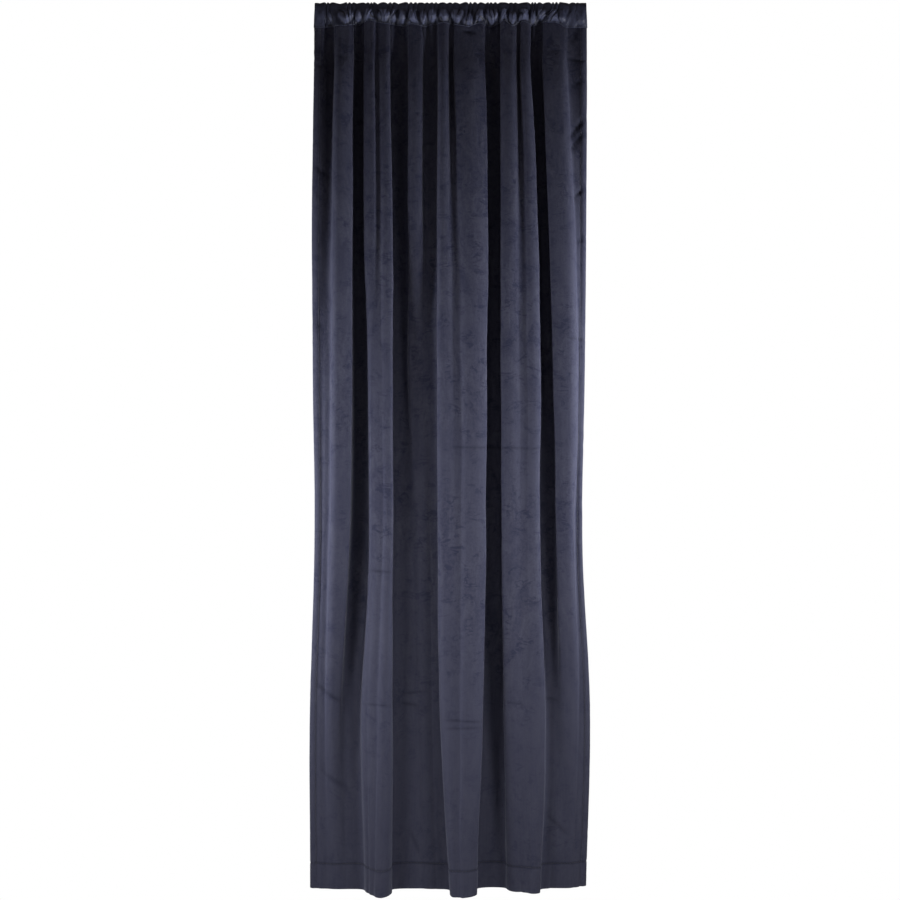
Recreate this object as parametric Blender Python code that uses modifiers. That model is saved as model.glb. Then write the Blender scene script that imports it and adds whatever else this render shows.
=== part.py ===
"""A rod-pocket curtain panel in heavy velvet, gathered on its rod pocket and hanging in deep folds.

Units are metres, +Z is up and the front of the curtain faces -Y. The origin is at the middle of the
top edge, where the pocket hangs on its rod, and the cloth hangs down from there along -Z.
"""

from collections import namedtuple

import bmesh
import bpy
import numpy as np

DROP = 2.50
CLOTH_WIDTH = 1.25
POCKET_HEIGHT = 0.073
HEM_HEIGHT = 0.073
CLOTH_THICKNESS = 0.002
HEM_THICKNESS = 0.0034
NODE_GAP = 0.0003

# The cloth's mesh: upright columns of points across it, and rows down it.
COLUMNS = 104
FIRST_ROW_STEP = 0.012
ROW_GROWTH = 1.33
LONGEST_ROW_STEP = 0.145

# The pocket lies round a rod above and narrows to its seam below.
POCKET_RADIUS = 0.0195
POCKET_RIDGE = 0.0032
ROD_CENTRE_Z = -POCKET_RADIUS - POCKET_RIDGE
POCKET_WALL = 0.0018
SEAM_HALF_DEPTH = 0.0030
SHOULDER_ANGLE = 35.0
OVER_ROD_POINTS = 7
BUNCHING = 0.0035
WELD_DISTANCE = 0.00001
HEM_STEP = 0.0015

PANEL_COLOUR = (0.045, 0.049, 0.082)
HEADING_COLOUR = (0.036, 0.038, 0.062)
VELVET_ROUGHNESS = 0.85

# The small gathers at the seam die away below it, while the big folds open out.
GATHER_COLUMNS = 4
FLAT_END_COLUMNS = 5
GATHER_DEPTH = 0.0110
GATHER_REACH = 0.22
FOLD_REACH = 0.15
SEAM_STRIP = 0.006
SEAM_EVENNESS = 0.55
SEAM_FOLD_SHARE = 0.5

# A fold's edges turn back this far, and the walls of a deep hollow tuck in behind its neighbours.
EDGE_TURN = 0.009
DEEP_HOLLOW = 0.06
TUCK_SHARE = 0.5

# The folds' depths are scaled, between these shares, until the line is as long as the cloth is wide.
LEAST_DEPTH_SHARE = 0.85
MOST_DEPTH_SHARE = 1.18

CENTIMETRE = 0.01
MILLIMETRE = 0.001

# How far each level lies below the top edge, in centimetres.
LEVELS = {"head": 16.0, "chest": 61.0, "waist": 109.0, "hip": 152.5, "knee": 199.0, "hem": 250.0}

# Each row is one fold, from the left side hem to the right one. For each level it has the place of
# the fold's left and right edge, in centimetres from the centre line, how far its face stands from
# the curtain's middle plane, and how far the hollow to its right does, both in millimetres, minus
# being forward.
Fold = namedtuple("Fold", ("name", *LEVELS))
Section = namedtuple("Section", "left right face hollow")

FOLDS = (
    Fold(
        "left side hem",
        head=Section(-38.1, -35.4, -12, 17),
        chest=Section(-38.7, -35.6, -12, 4),
        waist=Section(-38.4, -35.6, -22, -12),
        hip=Section(-37.6, -35.4, -24, -16),
        knee=Section(-38.8, -36.6, -12, -8),
        hem=Section(-39.2, -37.0, 34, 27),
    ),
    Fold(
        "first fold",
        head=Section(-32.3, -27.0, -24, 25),
        chest=Section(-33.1, -27.3, -34, 34),
        waist=Section(-33.4, -27.4, -38, 38),
        hip=Section(-34.0, -28.1, -36, 38),
        knee=Section(-35.0, -30.4, -20, 20),
        hem=Section(-34.6, -29.3, 22, 18),
    ),
    Fold(
        "second fold, left half",
        head=Section(-24.2, -21.4, -24, 5),
        chest=Section(-24.1, -21.0, -32, -18),
        waist=Section(-22.9, -20.4, -38, -32),
        hip=Section(-22.6, -20.2, -38, -34),
        knee=Section(-25.4, -22.4, -28, -32),
        hem=Section(-24.2, -22.3, -4, -22),
    ),
    Fold(
        "second fold, right half",
        head=Section(-20.1, -16.9, -24, 25),
        chest=Section(-19.5, -16.1, -34, 34),
        waist=Section(-19.2, -16.0, -40, 36),
        hip=Section(-19.2, -16.0, -42, 36),
        knee=Section(-20.9, -16.0, -46, 34),
        hem=Section(-21.3, -17.0, -51, 30),
    ),
    Fold(
        "middle plane",
        head=Section(-11.8, -7.9, -18, 22),
        chest=Section(-11.6, -7.8, -20, 28),
        waist=Section(-11.7, -6.7, -6, 16),
        hip=Section(-9.5, -4.5, 0, 10),
        knee=Section(-8.6, -3.3, 12, 24),
        hem=Section(-7.2, -2.8, 20, 30),
    ),
    Fold(
        "third fold, left half",
        head=Section(-3.2, -0.5, -24, 10),
        chest=Section(-3.5, 0.0, -32, 2),
        waist=Section(-3.6, 0.8, -40, -24),
        hip=Section(-3.5, 1.1, -42, -32),
        knee=Section(-2.8, 1.4, -44, -38),
        hem=Section(0.0, 2.0, -44, -48),
    ),
    Fold(
        "third fold, right half",
        head=Section(1.1, 9.8, -24, 25),
        chest=Section(2.5, 10.6, -34, 36),
        waist=Section(3.1, 10.2, -42, 40),
        hip=Section(3.1, 10.0, -44, 40),
        knee=Section(2.8, 9.2, -46, 40),
        hem=Section(3.0, 7.5, -48, 40),
    ),
    Fold(
        "fourth fold, left half",
        head=Section(14.1, 18.6, -24, 6),
        chest=Section(14.2, 18.9, -34, -14),
        waist=Section(14.3, 19.5, -38, -26),
        hip=Section(14.5, 19.5, -38, -32),
        knee=Section(14.9, 20.1, -28, -28),
        hem=Section(16.2, 20.1, -6, -12),
    ),
    Fold(
        "fourth fold, right half",
        head=Section(19.8, 22.5, -24, 25),
        chest=Section(21.2, 24.6, -32, 34),
        waist=Section(21.7, 25.2, -38, 36),
        hip=Section(21.7, 25.2, -38, 28),
        knee=Section(22.3, 26.5, -30, 2),
        hem=Section(22.3, 25.3, -12, 26),
    ),
    Fold(
        "fifth fold",
        head=Section(25.8, 32.2, -24, 4),
        chest=Section(27.6, 33.7, -36, -10),
        waist=Section(29.0, 35.3, -40, -14),
        hip=Section(29.8, 34.8, -36, -10),
        knee=Section(30.6, 35.4, -18, -2),
        hem=Section(28.4, 34.5, 32, 38),
    ),
    Fold(
        "right side hem",
        head=Section(35.9, 38.4, -8, 0),
        chest=Section(36.5, 38.3, -14, 0),
        waist=Section(36.2, 37.7, -18, 0),
        hip=Section(35.4, 36.5, -14, 0),
        knee=Section(36.8, 38.4, -6, 0),
        hem=Section(36.0, 38.0, 46, 0),
    ),
)


def level_heights():
    """The levels' heights, from the top one down."""
    return [-depth * CENTIMETRE for depth in LEVELS.values()]


def at_height(values, height):
    """A value given at each level, read at any height along a smooth curve through the levels."""
    levels = level_heights()
    if height >= levels[0]:
        return values[0]
    if height <= levels[-1]:
        return values[-1]
    slopes = np.gradient(values, levels)
    upper = max(i for i in range(len(levels) - 1) if height <= levels[i])
    span = levels[upper + 1] - levels[upper]
    t = (height - levels[upper]) / span
    start, end = values[upper], values[upper + 1]
    ease = t * t * (3 - 2 * t)
    lead_out = span * slopes[upper] * t * (1 - t) ** 2
    lead_in = span * slopes[upper + 1] * t * t * (t - 1)
    return start + (end - start) * ease + lead_out + lead_in


def folds_at(height):
    """Each fold's left edge, right edge, face depth and hollow depth at one height, in metres."""
    columns = []
    for fold in FOLDS:
        sections = fold[1:]
        left, right, face, hollow = (
            at_height([section[k] for section in sections], height) for k in range(4)
        )
        columns.append(
            (left * CENTIMETRE, right * CENTIMETRE, face * MILLIMETRE, hollow * MILLIMETRE)
        )
    return columns


def face_points(left, right, face, left_back, right_back):
    """Four points over a fold's face, whose corners turn back a little into the hollows."""
    width = right - left
    left_turn = min(EDGE_TURN, 0.3 * max(left_back - face, 0.0))
    right_turn = min(EDGE_TURN, 0.3 * max(right_back - face, 0.0))
    return [
        (left, face + left_turn),
        (left + 0.24 * width, face),
        (right - 0.24 * width, face),
        (right, face + right_turn),
    ]


def hollow_points(left, right, left_face, right_face, hollow, tuck):
    """Five points down one wall of a hollow, across its back and up the other wall."""
    inset = 0.12 * (right - left)
    return [
        (left - 0.7 * tuck, left_face + 0.5 * (hollow - left_face)),
        (left - tuck + inset, hollow - 0.14 * (hollow - left_face)),
        (0.5 * (left + right), hollow),
        (right + tuck - inset, hollow - 0.14 * (hollow - right_face)),
        (right + 0.7 * tuck, right_face + 0.5 * (hollow - right_face)),
    ]


def rounded(points, rounds=3):
    """The line with its corners cut off again and again, which leaves soft bends."""
    for _ in range(rounds):
        start, end = points[:-1], points[1:]
        cut = np.empty((2 * len(start), 2))
        cut[0::2] = 0.75 * start + 0.25 * end
        cut[1::2] = 0.25 * start + 0.75 * end
        points = np.vstack([points[:1], cut, points[-1:]])
    return points


def evenly_spaced(points, count):
    """A number of points along the line at equal distances, which follow the cloth's own threads."""
    lengths = np.hypot(*np.diff(points, axis=0).T)
    along = np.concatenate([[0.0], np.cumsum(lengths)])
    places = np.linspace(0.0, along[-1], count)
    return np.interp(places, along, points[:, 0]), np.interp(places, along, points[:, 1])


def depth_share(points):
    """The share that the line's depths are scaled by, so that it is as long as the cloth is wide."""
    steps = np.diff(points, axis=0)
    least, most = LEAST_DEPTH_SHARE, MOST_DEPTH_SHARE
    for _ in range(20):
        middle = 0.5 * (least + most)
        if np.hypot(steps[:, 0], middle * steps[:, 1]).sum() < CLOTH_WIDTH:
            least = middle
        else:
            most = middle
    return middle


def fade(height, reach):
    """1 down to just below the pocket's seam, then falling smoothly to 0."""
    t = min(max((-POCKET_HEIGHT - SEAM_STRIP - height) / reach, 0.0), 1.0)
    return 1.0 - t * t * (3 - 2 * t)


def gather(column):
    """How far one column stands out in the seam's uneven small gathers, from -1 to 1."""
    swell = 0.75 + 0.25 * np.sin(0.9 * column) * np.cos(0.37 * column + 1.0)
    from_end = min(column, COLUMNS - 1 - column)
    flat_end = min((from_end + 1.0) / FLAT_END_COLUMNS, 1.0)
    wave = np.cos(2 * np.pi * column / GATHER_COLUMNS + 0.9 * np.sin(0.53 * column))
    return flat_end * swell * wave


def plan_line(height, columns=COLUMNS):
    """The cloth's line seen from above at one height: its points' x and y, left to right."""
    folds = folds_at(height)
    points = []
    for i, (left, right, face, hollow) in enumerate(folds):
        last = i + 1 == len(folds)
        points += face_points(left, right, face, folds[i - 1][3] if i else hollow, hollow)
        if last:
            break
        next_left, next_right, next_face, _ = folds[i + 1]
        depth = min(hollow - face, hollow - next_face)
        room = 0.5 * min(right - left, next_right - next_left)
        tuck = TUCK_SHARE * room * min(max(depth / DEEP_HOLLOW, 0.0), 1.0)
        points += hollow_points(right, next_left, face, next_face, hollow, tuck)
    points = rounded(np.array(points))
    points[:, 1] *= depth_share(points)
    x, y = evenly_spaced(points, columns)
    gathered = fade(height, GATHER_REACH)
    even_x = np.linspace(x[0], x[-1], columns)
    waves = np.array([gather(column) for column in range(columns)])
    x += SEAM_EVENNESS * gathered * (even_x - x)
    y *= 1.0 - (1.0 - SEAM_FOLD_SHARE) * fade(height, FOLD_REACH)
    return x, y + GATHER_DEPTH * gathered * waves


def row_heights():
    """The panel's rows from its top edge to its bottom one, close together near the gathers."""
    heights = [-POCKET_HEIGHT - NODE_GAP, -POCKET_HEIGHT - SEAM_STRIP]
    step = FIRST_ROW_STEP
    hem_line = HEM_HEIGHT - DROP
    while heights[-1] - step > hem_line + 0.5 * step:
        heights.append(heights[-1] - step)
        step = min(step * ROW_GROWTH, LONGEST_ROW_STEP)
    return heights + [hem_line + HEM_STEP, hem_line - HEM_STEP, -DROP]


def grid_mesh(points):
    """An open sheet whose corners are an array of rows, columns and x, y, z."""
    rows, columns = points.shape[:2]
    sheet = bmesh.new()
    bmesh.ops.create_grid(sheet, x_segments=columns - 1, y_segments=rows - 1, size=1.0)
    for vertex in sheet.verts:
        column = round(0.5 * (vertex.co.x + 1.0) * (columns - 1))
        row = round(0.5 * (1.0 - vertex.co.y) * (rows - 1))
        vertex.co = points[row, column]
    return sheet


def velvet_material(name, colour):
    """Dark blue pile cloth, quite matt."""
    material = bpy.data.materials.new(name)
    material.use_nodes = True
    shader = material.node_tree.nodes["Principled BSDF"]
    shader.inputs["Base Color"].default_value = (*colour, 1.0)
    shader.inputs["Roughness"].default_value = VELVET_ROUGHNESS
    shader.inputs["Metallic"].default_value = 0.0
    material.diffuse_color = (*colour, 1.0)
    return material


def add_object(name, sheet, material, collection):
    """The sheet as a named object in the curtain's collection."""
    mesh = bpy.data.meshes.new(name)
    sheet.to_mesh(mesh)
    sheet.free()
    mesh.materials.append(material)
    mesh.shade_smooth()
    node = bpy.data.objects.new(name, mesh)
    collection.objects.link(node)
    return node


def build_panel(collection):
    """The hanging cloth, from the pocket's seam to the bottom edge, thicker in its turned-up hem."""
    heights = row_heights()
    points = np.empty((len(heights), COLUMNS, 3))
    for row, height in enumerate(heights):
        points[row, :, 0], points[row, :, 1] = plan_line(height)
        points[row, :, 2] = height
    colour = velvet_material("velvet_pile", PANEL_COLOUR)
    panel = add_object("curtain_panel", grid_mesh(points), colour, collection)
    hem = panel.vertex_groups.new(name="hem")
    below = [v.index for v in panel.data.vertices if v.co.z < HEM_HEIGHT - DROP]
    hem.add(below, 1.0, "REPLACE")
    wall = panel.modifiers.new("cloth thickness", "SOLIDIFY")
    wall.thickness = HEM_THICKNESS
    wall.vertex_group = "hem"
    wall.thickness_vertex_group = CLOTH_THICKNESS / HEM_THICKNESS
    wall.offset = 0.0
    return panel


def seam_edges():
    """The two lines that the pocket's layers follow at its seam, back and front."""
    line = np.array(plan_line(-POCKET_HEIGHT)).T
    along = np.gradient(line, axis=0)
    along /= np.linalg.norm(along, axis=1, keepdims=True)
    forward = np.stack([along[:, 1], -along[:, 0]], axis=1)
    return line - SEAM_HALF_DEPTH * forward, line + SEAM_HALF_DEPTH * forward


def over_rod(column):
    """The pocket's outer y and z at one column, from its back shoulder over the rod to its front."""
    radius = POCKET_RADIUS + POCKET_RIDGE * gather(column)
    angles = np.radians(np.linspace(-SHOULDER_ANGLE, 180.0 + SHOULDER_ANGLE, OVER_ROD_POINTS))
    return radius * np.cos(angles), ROD_CENTRE_Z + radius * np.sin(angles)


def build_pocket(collection):
    """The gathered channel for the rod, open right through from one end to the other."""
    back, front = seam_edges()
    column = np.arange(COLUMNS)
    rod_x = np.linspace(back[0, 0], back[-1, 0], COLUMNS)
    rod_x[1:-1] += BUNCHING * (np.sin(0.71 * column) + 0.3 * np.sin(1.9 * column))[1:-1]
    points = np.empty((OVER_ROD_POINTS + 5, COLUMNS, 3))
    points[0, :, :2] = points[-1, :, :2] = back
    points[-2, :, :2] = front
    points[[0, -2, -1], :, 2] = -POCKET_HEIGHT
    points[2:-3, :, 0] = rod_x
    for i in column:
        points[2:-3, i, 1], points[2:-3, i, 2] = over_rod(i)
    points[1] = 0.5 * (points[0] + points[2])
    points[-3] = 0.5 * (points[-4] + points[-2])
    sheet = grid_mesh(points)
    bmesh.ops.remove_doubles(sheet, verts=sheet.verts, dist=WELD_DISTANCE)
    colour = velvet_material("velvet_heading", HEADING_COLOUR)
    pocket = add_object("heading_pocket", sheet, colour, collection)
    wall = pocket.modifiers.new("cloth thickness", "SOLIDIFY")
    wall.thickness = POCKET_WALL
    wall.offset = -1.0
    return pocket


def main():
    """Clears the scene and builds the curtain's two pieces."""
    for old in list(bpy.data.objects):
        bpy.data.objects.remove(old, do_unlink=True)
    collection = bpy.data.collections.new("blackout_curtain")
    bpy.context.scene.collection.children.link(collection)
    build_panel(collection)
    build_pocket(collection)


main()
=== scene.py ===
"""The looks of a heavy velvet curtain panel, gathered on its rod pocket and hanging in deep folds.

Units are metres, +Z is up and the front of the curtain faces -Y. The origin is at the middle of the
top edge, and the cloth hangs down from there along -Z.
"""

import logging
import math
from dataclasses import dataclass, field
from enum import Enum
from typing import NamedTuple

import bmesh
import bpy
import numpy as np
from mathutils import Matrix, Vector, noise


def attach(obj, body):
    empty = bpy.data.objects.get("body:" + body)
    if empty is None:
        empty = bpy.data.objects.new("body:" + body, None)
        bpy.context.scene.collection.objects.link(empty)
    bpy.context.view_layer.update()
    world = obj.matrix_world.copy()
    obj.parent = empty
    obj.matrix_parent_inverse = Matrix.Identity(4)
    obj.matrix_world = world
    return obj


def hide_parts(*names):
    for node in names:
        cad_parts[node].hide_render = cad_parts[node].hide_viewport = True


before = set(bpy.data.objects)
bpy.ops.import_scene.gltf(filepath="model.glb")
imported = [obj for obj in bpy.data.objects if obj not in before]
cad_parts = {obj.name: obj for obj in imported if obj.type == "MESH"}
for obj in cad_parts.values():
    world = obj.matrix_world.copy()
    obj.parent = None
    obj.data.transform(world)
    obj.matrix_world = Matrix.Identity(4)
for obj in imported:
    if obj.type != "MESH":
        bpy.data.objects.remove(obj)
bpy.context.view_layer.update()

CENTIMETRE = 0.01
MILLIMETRE = 0.001
FACE_POINTS = 7
HOLLOW_POINTS = 5
LEAST_LENGTH = 1e-12

log = logging.getLogger("curtain")


class Level(Enum):
    """The heights that the folds are measured at, in centimetres below the top edge."""

    HEAD = 16.0
    CHEST = 61.0
    WAIST = 109.0
    HIP = 152.5
    KNEE = 199.0
    HEM = 250.0


class ClothFace(Enum):
    """The material slot that each face of the cloth takes its finish from."""

    PILE = 0
    WOVEN_BACK = 1


class SeamSide(Enum):
    """The side of the cloth that a row of stitches lies on."""

    FRONT = 1.0
    BACK = -1.0


class Section(NamedTuple):
    """One fold at one level.

    The edges are in centimetres from the centre line. The face and the hollow to its right are in
    millimetres from the curtain's middle plane, minus being forward.
    """

    left: float
    right: float
    face: float
    hollow: float


class Fold(NamedTuple):
    """One fold from top to bottom, with a section for each level.

    The crests are where its face swells most, as shares of its width from the left, down to the
    knee and at the hem. The crown is how far it swells there, and the turns how far its left and
    right edges fall back, in millimetres, down to the knee and at the hem.
    """

    crests: tuple[float, float]
    crown: float
    turns: tuple[float, float]
    hem_turns: tuple[float, float]
    head: Section
    chest: Section
    waist: Section
    hip: Section
    knee: Section
    hem: Section

    @property
    def sections(self) -> tuple[Section, ...]:
        """Its sections, from the top level down."""
        return self.head, self.chest, self.waist, self.hip, self.knee, self.hem


class Crease(NamedTuple):
    """A soft trough along a short line on the front, or a ridge where its depth is negative.

    The ends are in centimetres right of the centre line and below the top edge, the width and the
    depth in millimetres.
    """

    x: float
    down: float
    end_x: float
    end_down: float
    width: float
    depth: float


class Pouch(NamedTuple):
    """A slack pouch in the heading, just above the pocket's seam.

    The centre is in centimetres from the centre line, the half width, the drop of its lowest point
    below the top edge, its depth and its rim's lift at the sides in millimetres. A negative lift
    makes an arch instead of a smile.
    """

    x: float
    half_width: float
    drop: float
    depth: float
    lift: float


FOLDS: tuple[Fold, ...] = (
    Fold(  # left side hem
        crests=(0.5, 0.5),
        crown=1.0,
        turns=(9.0, 1.0),
        hem_turns=(5.0, 1.0),
        head=Section(-38.1, -35.4, -12, 17),
        chest=Section(-38.7, -35.6, -12, -4),
        waist=Section(-38.4, -35.6, -14, -18),
        hip=Section(-38.0, -35.8, -12, -16),
        knee=Section(-39.3, -37.1, -4, -6),
        hem=Section(-39.6, -37.4, 30, 27),
    ),
    Fold(  # first fold
        crests=(0.3, 0.5),
        crown=9.0,
        turns=(15.0, 6.0),
        hem_turns=(3.0, 6.0),
        head=Section(-32.3, -27.0, -24, 25),
        chest=Section(-33.1, -27.3, -34, 34),
        waist=Section(-33.4, -27.4, -38, 38),
        hip=Section(-34.0, -28.1, -36, 38),
        knee=Section(-35.0, -30.6, -16, 15),
        hem=Section(-34.6, -29.3, 24, 24),
    ),
    Fold(  # second fold, left half
        crests=(0.9, 0.95),
        crown=1.0,
        turns=(12.0, 0.5),
        hem_turns=(18.0, 0.0),
        head=Section(-24.2, -21.4, -24, -12),
        chest=Section(-24.1, -21.0, -32, -24),
        waist=Section(-22.9, -21.8, -36, -38.5),
        hip=Section(-22.6, -21.5, -36, -40),
        knee=Section(-24.7, -23.0, -28, -35),
        hem=Section(-23.8, -22.6, -12, -27),
    ),
    Fold(  # second fold, right half
        crests=(0.6, 0.4),
        crown=1.5,
        turns=(8.0, 4.0),
        hem_turns=(13.0, 42.0),
        head=Section(-20.1, -16.9, -24, 25),
        chest=Section(-19.5, -16.1, -34, 34),
        waist=Section(-18.9, -16.0, -41, 36),
        hip=Section(-18.6, -16.0, -45, 30),
        knee=Section(-20.2, -16.0, -47, 28),
        hem=Section(-20.9, -16.2, -51, 28),
    ),
    Fold(  # middle plane
        crests=(0.6, 0.6),
        crown=3.0,
        turns=(8.0, 3.0),
        hem_turns=(6.0, 3.0),
        head=Section(-11.8, -7.9, -18, 16),
        chest=Section(-11.6, -7.8, -20, 10),
        waist=Section(-11.5, -6.7, 6, 6),
        hip=Section(-10.0, -5.6, 12, 8),
        knee=Section(-9.0, -5.0, 18, 14),
        hem=Section(-7.6, -4.0, 24, 22),
    ),
    Fold(  # third fold, left half
        crests=(0.45, 0.45),
        crown=4.0,
        turns=(9.0, 5.0),
        hem_turns=(22.0, 1.0),
        head=Section(-3.2, -0.5, -24, 10),
        chest=Section(-3.5, 0.0, -32, -20),
        waist=Section(-3.6, 0.8, -40, -34),
        hip=Section(-3.5, 1.1, -42, -39),
        knee=Section(-2.8, 1.4, -44, -43),
        hem=Section(0.0, 2.0, -44, -45),
    ),
    Fold(  # third fold, right half
        crests=(0.50, 0.12),
        crown=6.0,
        turns=(6.0, 6.0),
        hem_turns=(1.0, 26.0),
        head=Section(1.1, 9.8, -24, 25),
        chest=Section(2.5, 10.6, -34, 36),
        waist=Section(3.1, 10.2, -42, 40),
        hip=Section(3.1, 10.0, -44, 40),
        knee=Section(2.8, 9.2, -46, 40),
        hem=Section(3.0, 7.5, -48, 40),
    ),
    Fold(  # fourth fold, left half
        crests=(0.55, 0.55),
        crown=5.0,
        turns=(9.0, 4.0),
        hem_turns=(20.0, 1.0),
        head=Section(14.1, 18.6, -24, 6),
        chest=Section(14.2, 18.9, -34, -23),
        waist=Section(14.3, 19.5, -38, -33),
        hip=Section(14.5, 19.5, -37, -35),
        knee=Section(14.9, 20.1, -28, -27),
        hem=Section(16.2, 20.1, 0, -6),
    ),
    Fold(  # fourth fold, right half
        crests=(0.45, 0.45),
        crown=3.0,
        turns=(2.0, 5.0),
        hem_turns=(1.0, 5.0),
        head=Section(19.8, 22.5, -24, 25),
        chest=Section(21.2, 24.6, -32, 34),
        waist=Section(21.7, 25.2, -38, 36),
        hip=Section(21.7, 25.2, -38, 28),
        knee=Section(22.3, 26.5, -30, 2),
        hem=Section(22.3, 25.3, -14, 26),
    ),
    Fold(  # fifth fold
        crests=(0.70, 0.70),
        crown=7.0,
        turns=(8.0, 20.0),
        hem_turns=(4.0, 3.0),
        head=Section(25.8, 32.6, -25, -6),
        chest=Section(27.6, 35.0, -34, -13),
        waist=Section(29.0, 35.8, -36, -13),
        hip=Section(29.8, 35.0, -32, -9),
        knee=Section(30.6, 36.1, -16, -2),
        hem=Section(28.4, 34.9, 32, 38),
    ),
    Fold(  # right side hem
        crests=(0.5, 0.5),
        crown=1.0,
        turns=(1.0, 9.0),
        hem_turns=(1.0, 5.0),
        head=Section(35.9, 38.4, -8, 0),
        chest=Section(36.5, 38.3, -10, 0),
        waist=Section(36.5, 37.7, -10, 0),
        hip=Section(36.2, 37.1, -8, 0),
        knee=Section(37.5, 39.3, 0, 0),
        hem=Section(36.8, 38.8, 46, 0),
    ),
)

CREASES: tuple[Crease, ...] = (
    Crease(3.8, 8.6, 7.2, 8.9, 3.5, 3.0),
    Crease(32.6, 16.2, 38.2, 16.7, 3.5, 2.4),
    Crease(26.8, 14.0, 30.4, 14.4, 3.5, 1.2),
    Crease(-32.0, 15.3, -29.0, 16.4, 5.0, 1.4),
    Crease(-38.0, 18.1, -35.6, 18.3, 3.5, 1.6),
    Crease(36.2, 7.8, 34.2, 11.6, 5.0, 2.2),
    Crease(7.6, 13.6, 9.6, 14.2, 3.5, 1.4),
    Crease(7.4, 15.4, 9.4, 15.8, 3.5, 1.4),
    Crease(38.2, 32.3, 32.9, 39.4, 5.0, 3.4),
    Crease(37.6, 36.4, 33.4, 42.6, 5.0, 2.8),
    Crease(38.0, 21.5, 33.8, 24.6, 4.5, 2.0),
    Crease(38.0, 52.0, 34.4, 55.6, 4.5, 2.2),
    Crease(38.0, 66.4, 35.2, 68.0, 4.5, 1.8),
    Crease(33.0, 94.6, 37.8, 94.9, 4.0, 1.6),
    Crease(-38.4, 46.0, -34.0, 49.5, 5.0, 1.6),
    Crease(-38.4, 90.0, -34.6, 91.6, 5.0, 1.6),
    Crease(0.0, 125.0, 25.0, 125.4, 3.5, 1.0),
    Crease(-22.8, 159.4, -16.2, 159.8, 3.5, 1.2),
    Crease(-37.5, 191.5, -30.0, 196.5, 6.0, 1.4),
    Crease(-24.0, 196.6, -16.4, 196.9, 3.5, 1.0),
    Crease(-1.4, 200.8, 9.0, 201.4, 3.5, 1.2),
    Crease(-1.0, 203.2, 8.8, 203.0, 3.5, 1.0),
    Crease(-36.0, 216.0, -29.0, 221.0, 6.0, 1.0),
    Crease(27.0, 228.5, 33.0, 234.0, 6.0, 1.0),
    Crease(-11.0, 234.0, -8.8, 239.5, 5.0, 1.0),
    Crease(-14.2, 194.8, -6.4, 194.0, 3.5, 0.9),
    Crease(-13.8, 197.4, -9.0, 198.1, 4.5, 1.1),
    Crease(15.4, 196.0, 20.4, 196.8, 3.5, 0.8),
    Crease(26.0, 195.2, 30.4, 196.1, 4.5, 1.1),
)

POUCHES: tuple[Pouch, ...] = (
    Pouch(-33.6, 7.0, 66.0, 3.0, 8.0),
    Pouch(-29.2, 20.0, 66.0, 9.0, 24.0),
    Pouch(-25.7, 9.0, 60.0, 6.0, 8.0),
    Pouch(-22.7, 13.0, 50.0, 7.0, -12.0),
    Pouch(-18.4, 16.0, 60.0, 8.0, 14.0),
    Pouch(-15.9, 8.0, 60.0, 6.0, 10.0),
    Pouch(-13.3, 9.0, 64.0, 7.0, 10.0),
    Pouch(-10.6, 14.0, 60.0, 8.0, -9.0),
    Pouch(-7.4, 9.0, 68.0, 6.5, 22.0),
    Pouch(-5.0, 12.0, 60.0, 8.0, 9.0),
    Pouch(-1.7, 13.0, 58.0, 6.0, 10.0),
    Pouch(2.1, 17.0, 64.0, 9.0, 22.0),
    Pouch(5.1, 12.0, 70.0, 7.5, 3.0),
    Pouch(8.2, 11.0, 59.0, 7.0, 8.0),
    Pouch(11.7, 17.0, 66.0, 9.0, 26.0),
    Pouch(15.2, 9.0, 50.0, 7.0, -14.0),
    Pouch(17.5, 10.0, 68.0, 8.0, 20.0),
    Pouch(20.7, 14.0, 53.0, 8.0, -10.0),
    Pouch(23.3, 7.0, 66.0, 5.0, 8.0),
    Pouch(25.7, 11.0, 55.0, 6.5, 9.0),
    Pouch(29.0, 15.0, 57.0, 6.0, -16.0),
    Pouch(31.3, 9.0, 62.0, 5.0, 8.0),
    Pouch(36.8, 10.0, 67.0, 3.5, 7.0),
)


def smooth(t: np.ndarray | float) -> np.ndarray | float:
    """Eases a value from 0 to 1, and holds it there outside that range."""
    t = np.clip(t, 0.0, 1.0)
    return t * t * (3 - 2 * t)


def between_ends(
    places: np.ndarray, start: float, end: float, lead_in: float, lead_out: float
) -> np.ndarray:
    """1 between two places, falling smoothly to 0 at each of them over its own lead."""
    return smooth((places - start) / lead_in) * smooth((end - places) / lead_out)


def bell(away: np.ndarray, width: float) -> np.ndarray:
    """1 at no distance, falling off smoothly to 0 over a width."""
    return np.exp(-((away / width) ** 2))


def soft_noise(u: float, v: float, seed: float) -> float:
    """Smooth noise from -1 to 1 at a place on the cloth, the same on every run."""
    return noise.noise(Vector((u, v, seed)))


def noise_field(u: np.ndarray, v: np.ndarray, seed: float) -> np.ndarray:
    """Smooth noise at each point of two arrays of the same shape.

    Args:
        u: The points' places across the cloth, already scaled to the noise's size.
        v: The points' places down the cloth, scaled the same way.
        seed: Which of many such fields to read.

    Returns:
        The noise, from -1 to 1, in the arrays' own shape.
    """
    values = [soft_noise(a, b, seed) for a, b in zip(u.ravel(), v.ravel())]
    return np.array(values).reshape(u.shape)


def read_along(values: np.ndarray, reached: np.ndarray, places: np.ndarray) -> np.ndarray:
    """Reads rows of three values, which lie at reached places on a line, at other places on it."""
    return np.stack([np.interp(places, reached, values[:, k]) for k in range(3)], axis=1)


def deselect_everything() -> None:
    """Leaves edit mode and clears the selection, since an operator acts on all that is selected."""
    if bpy.context.mode != "OBJECT":
        bpy.ops.object.mode_set(mode="OBJECT")
    bpy.ops.object.select_all(action="DESELECT")


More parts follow.
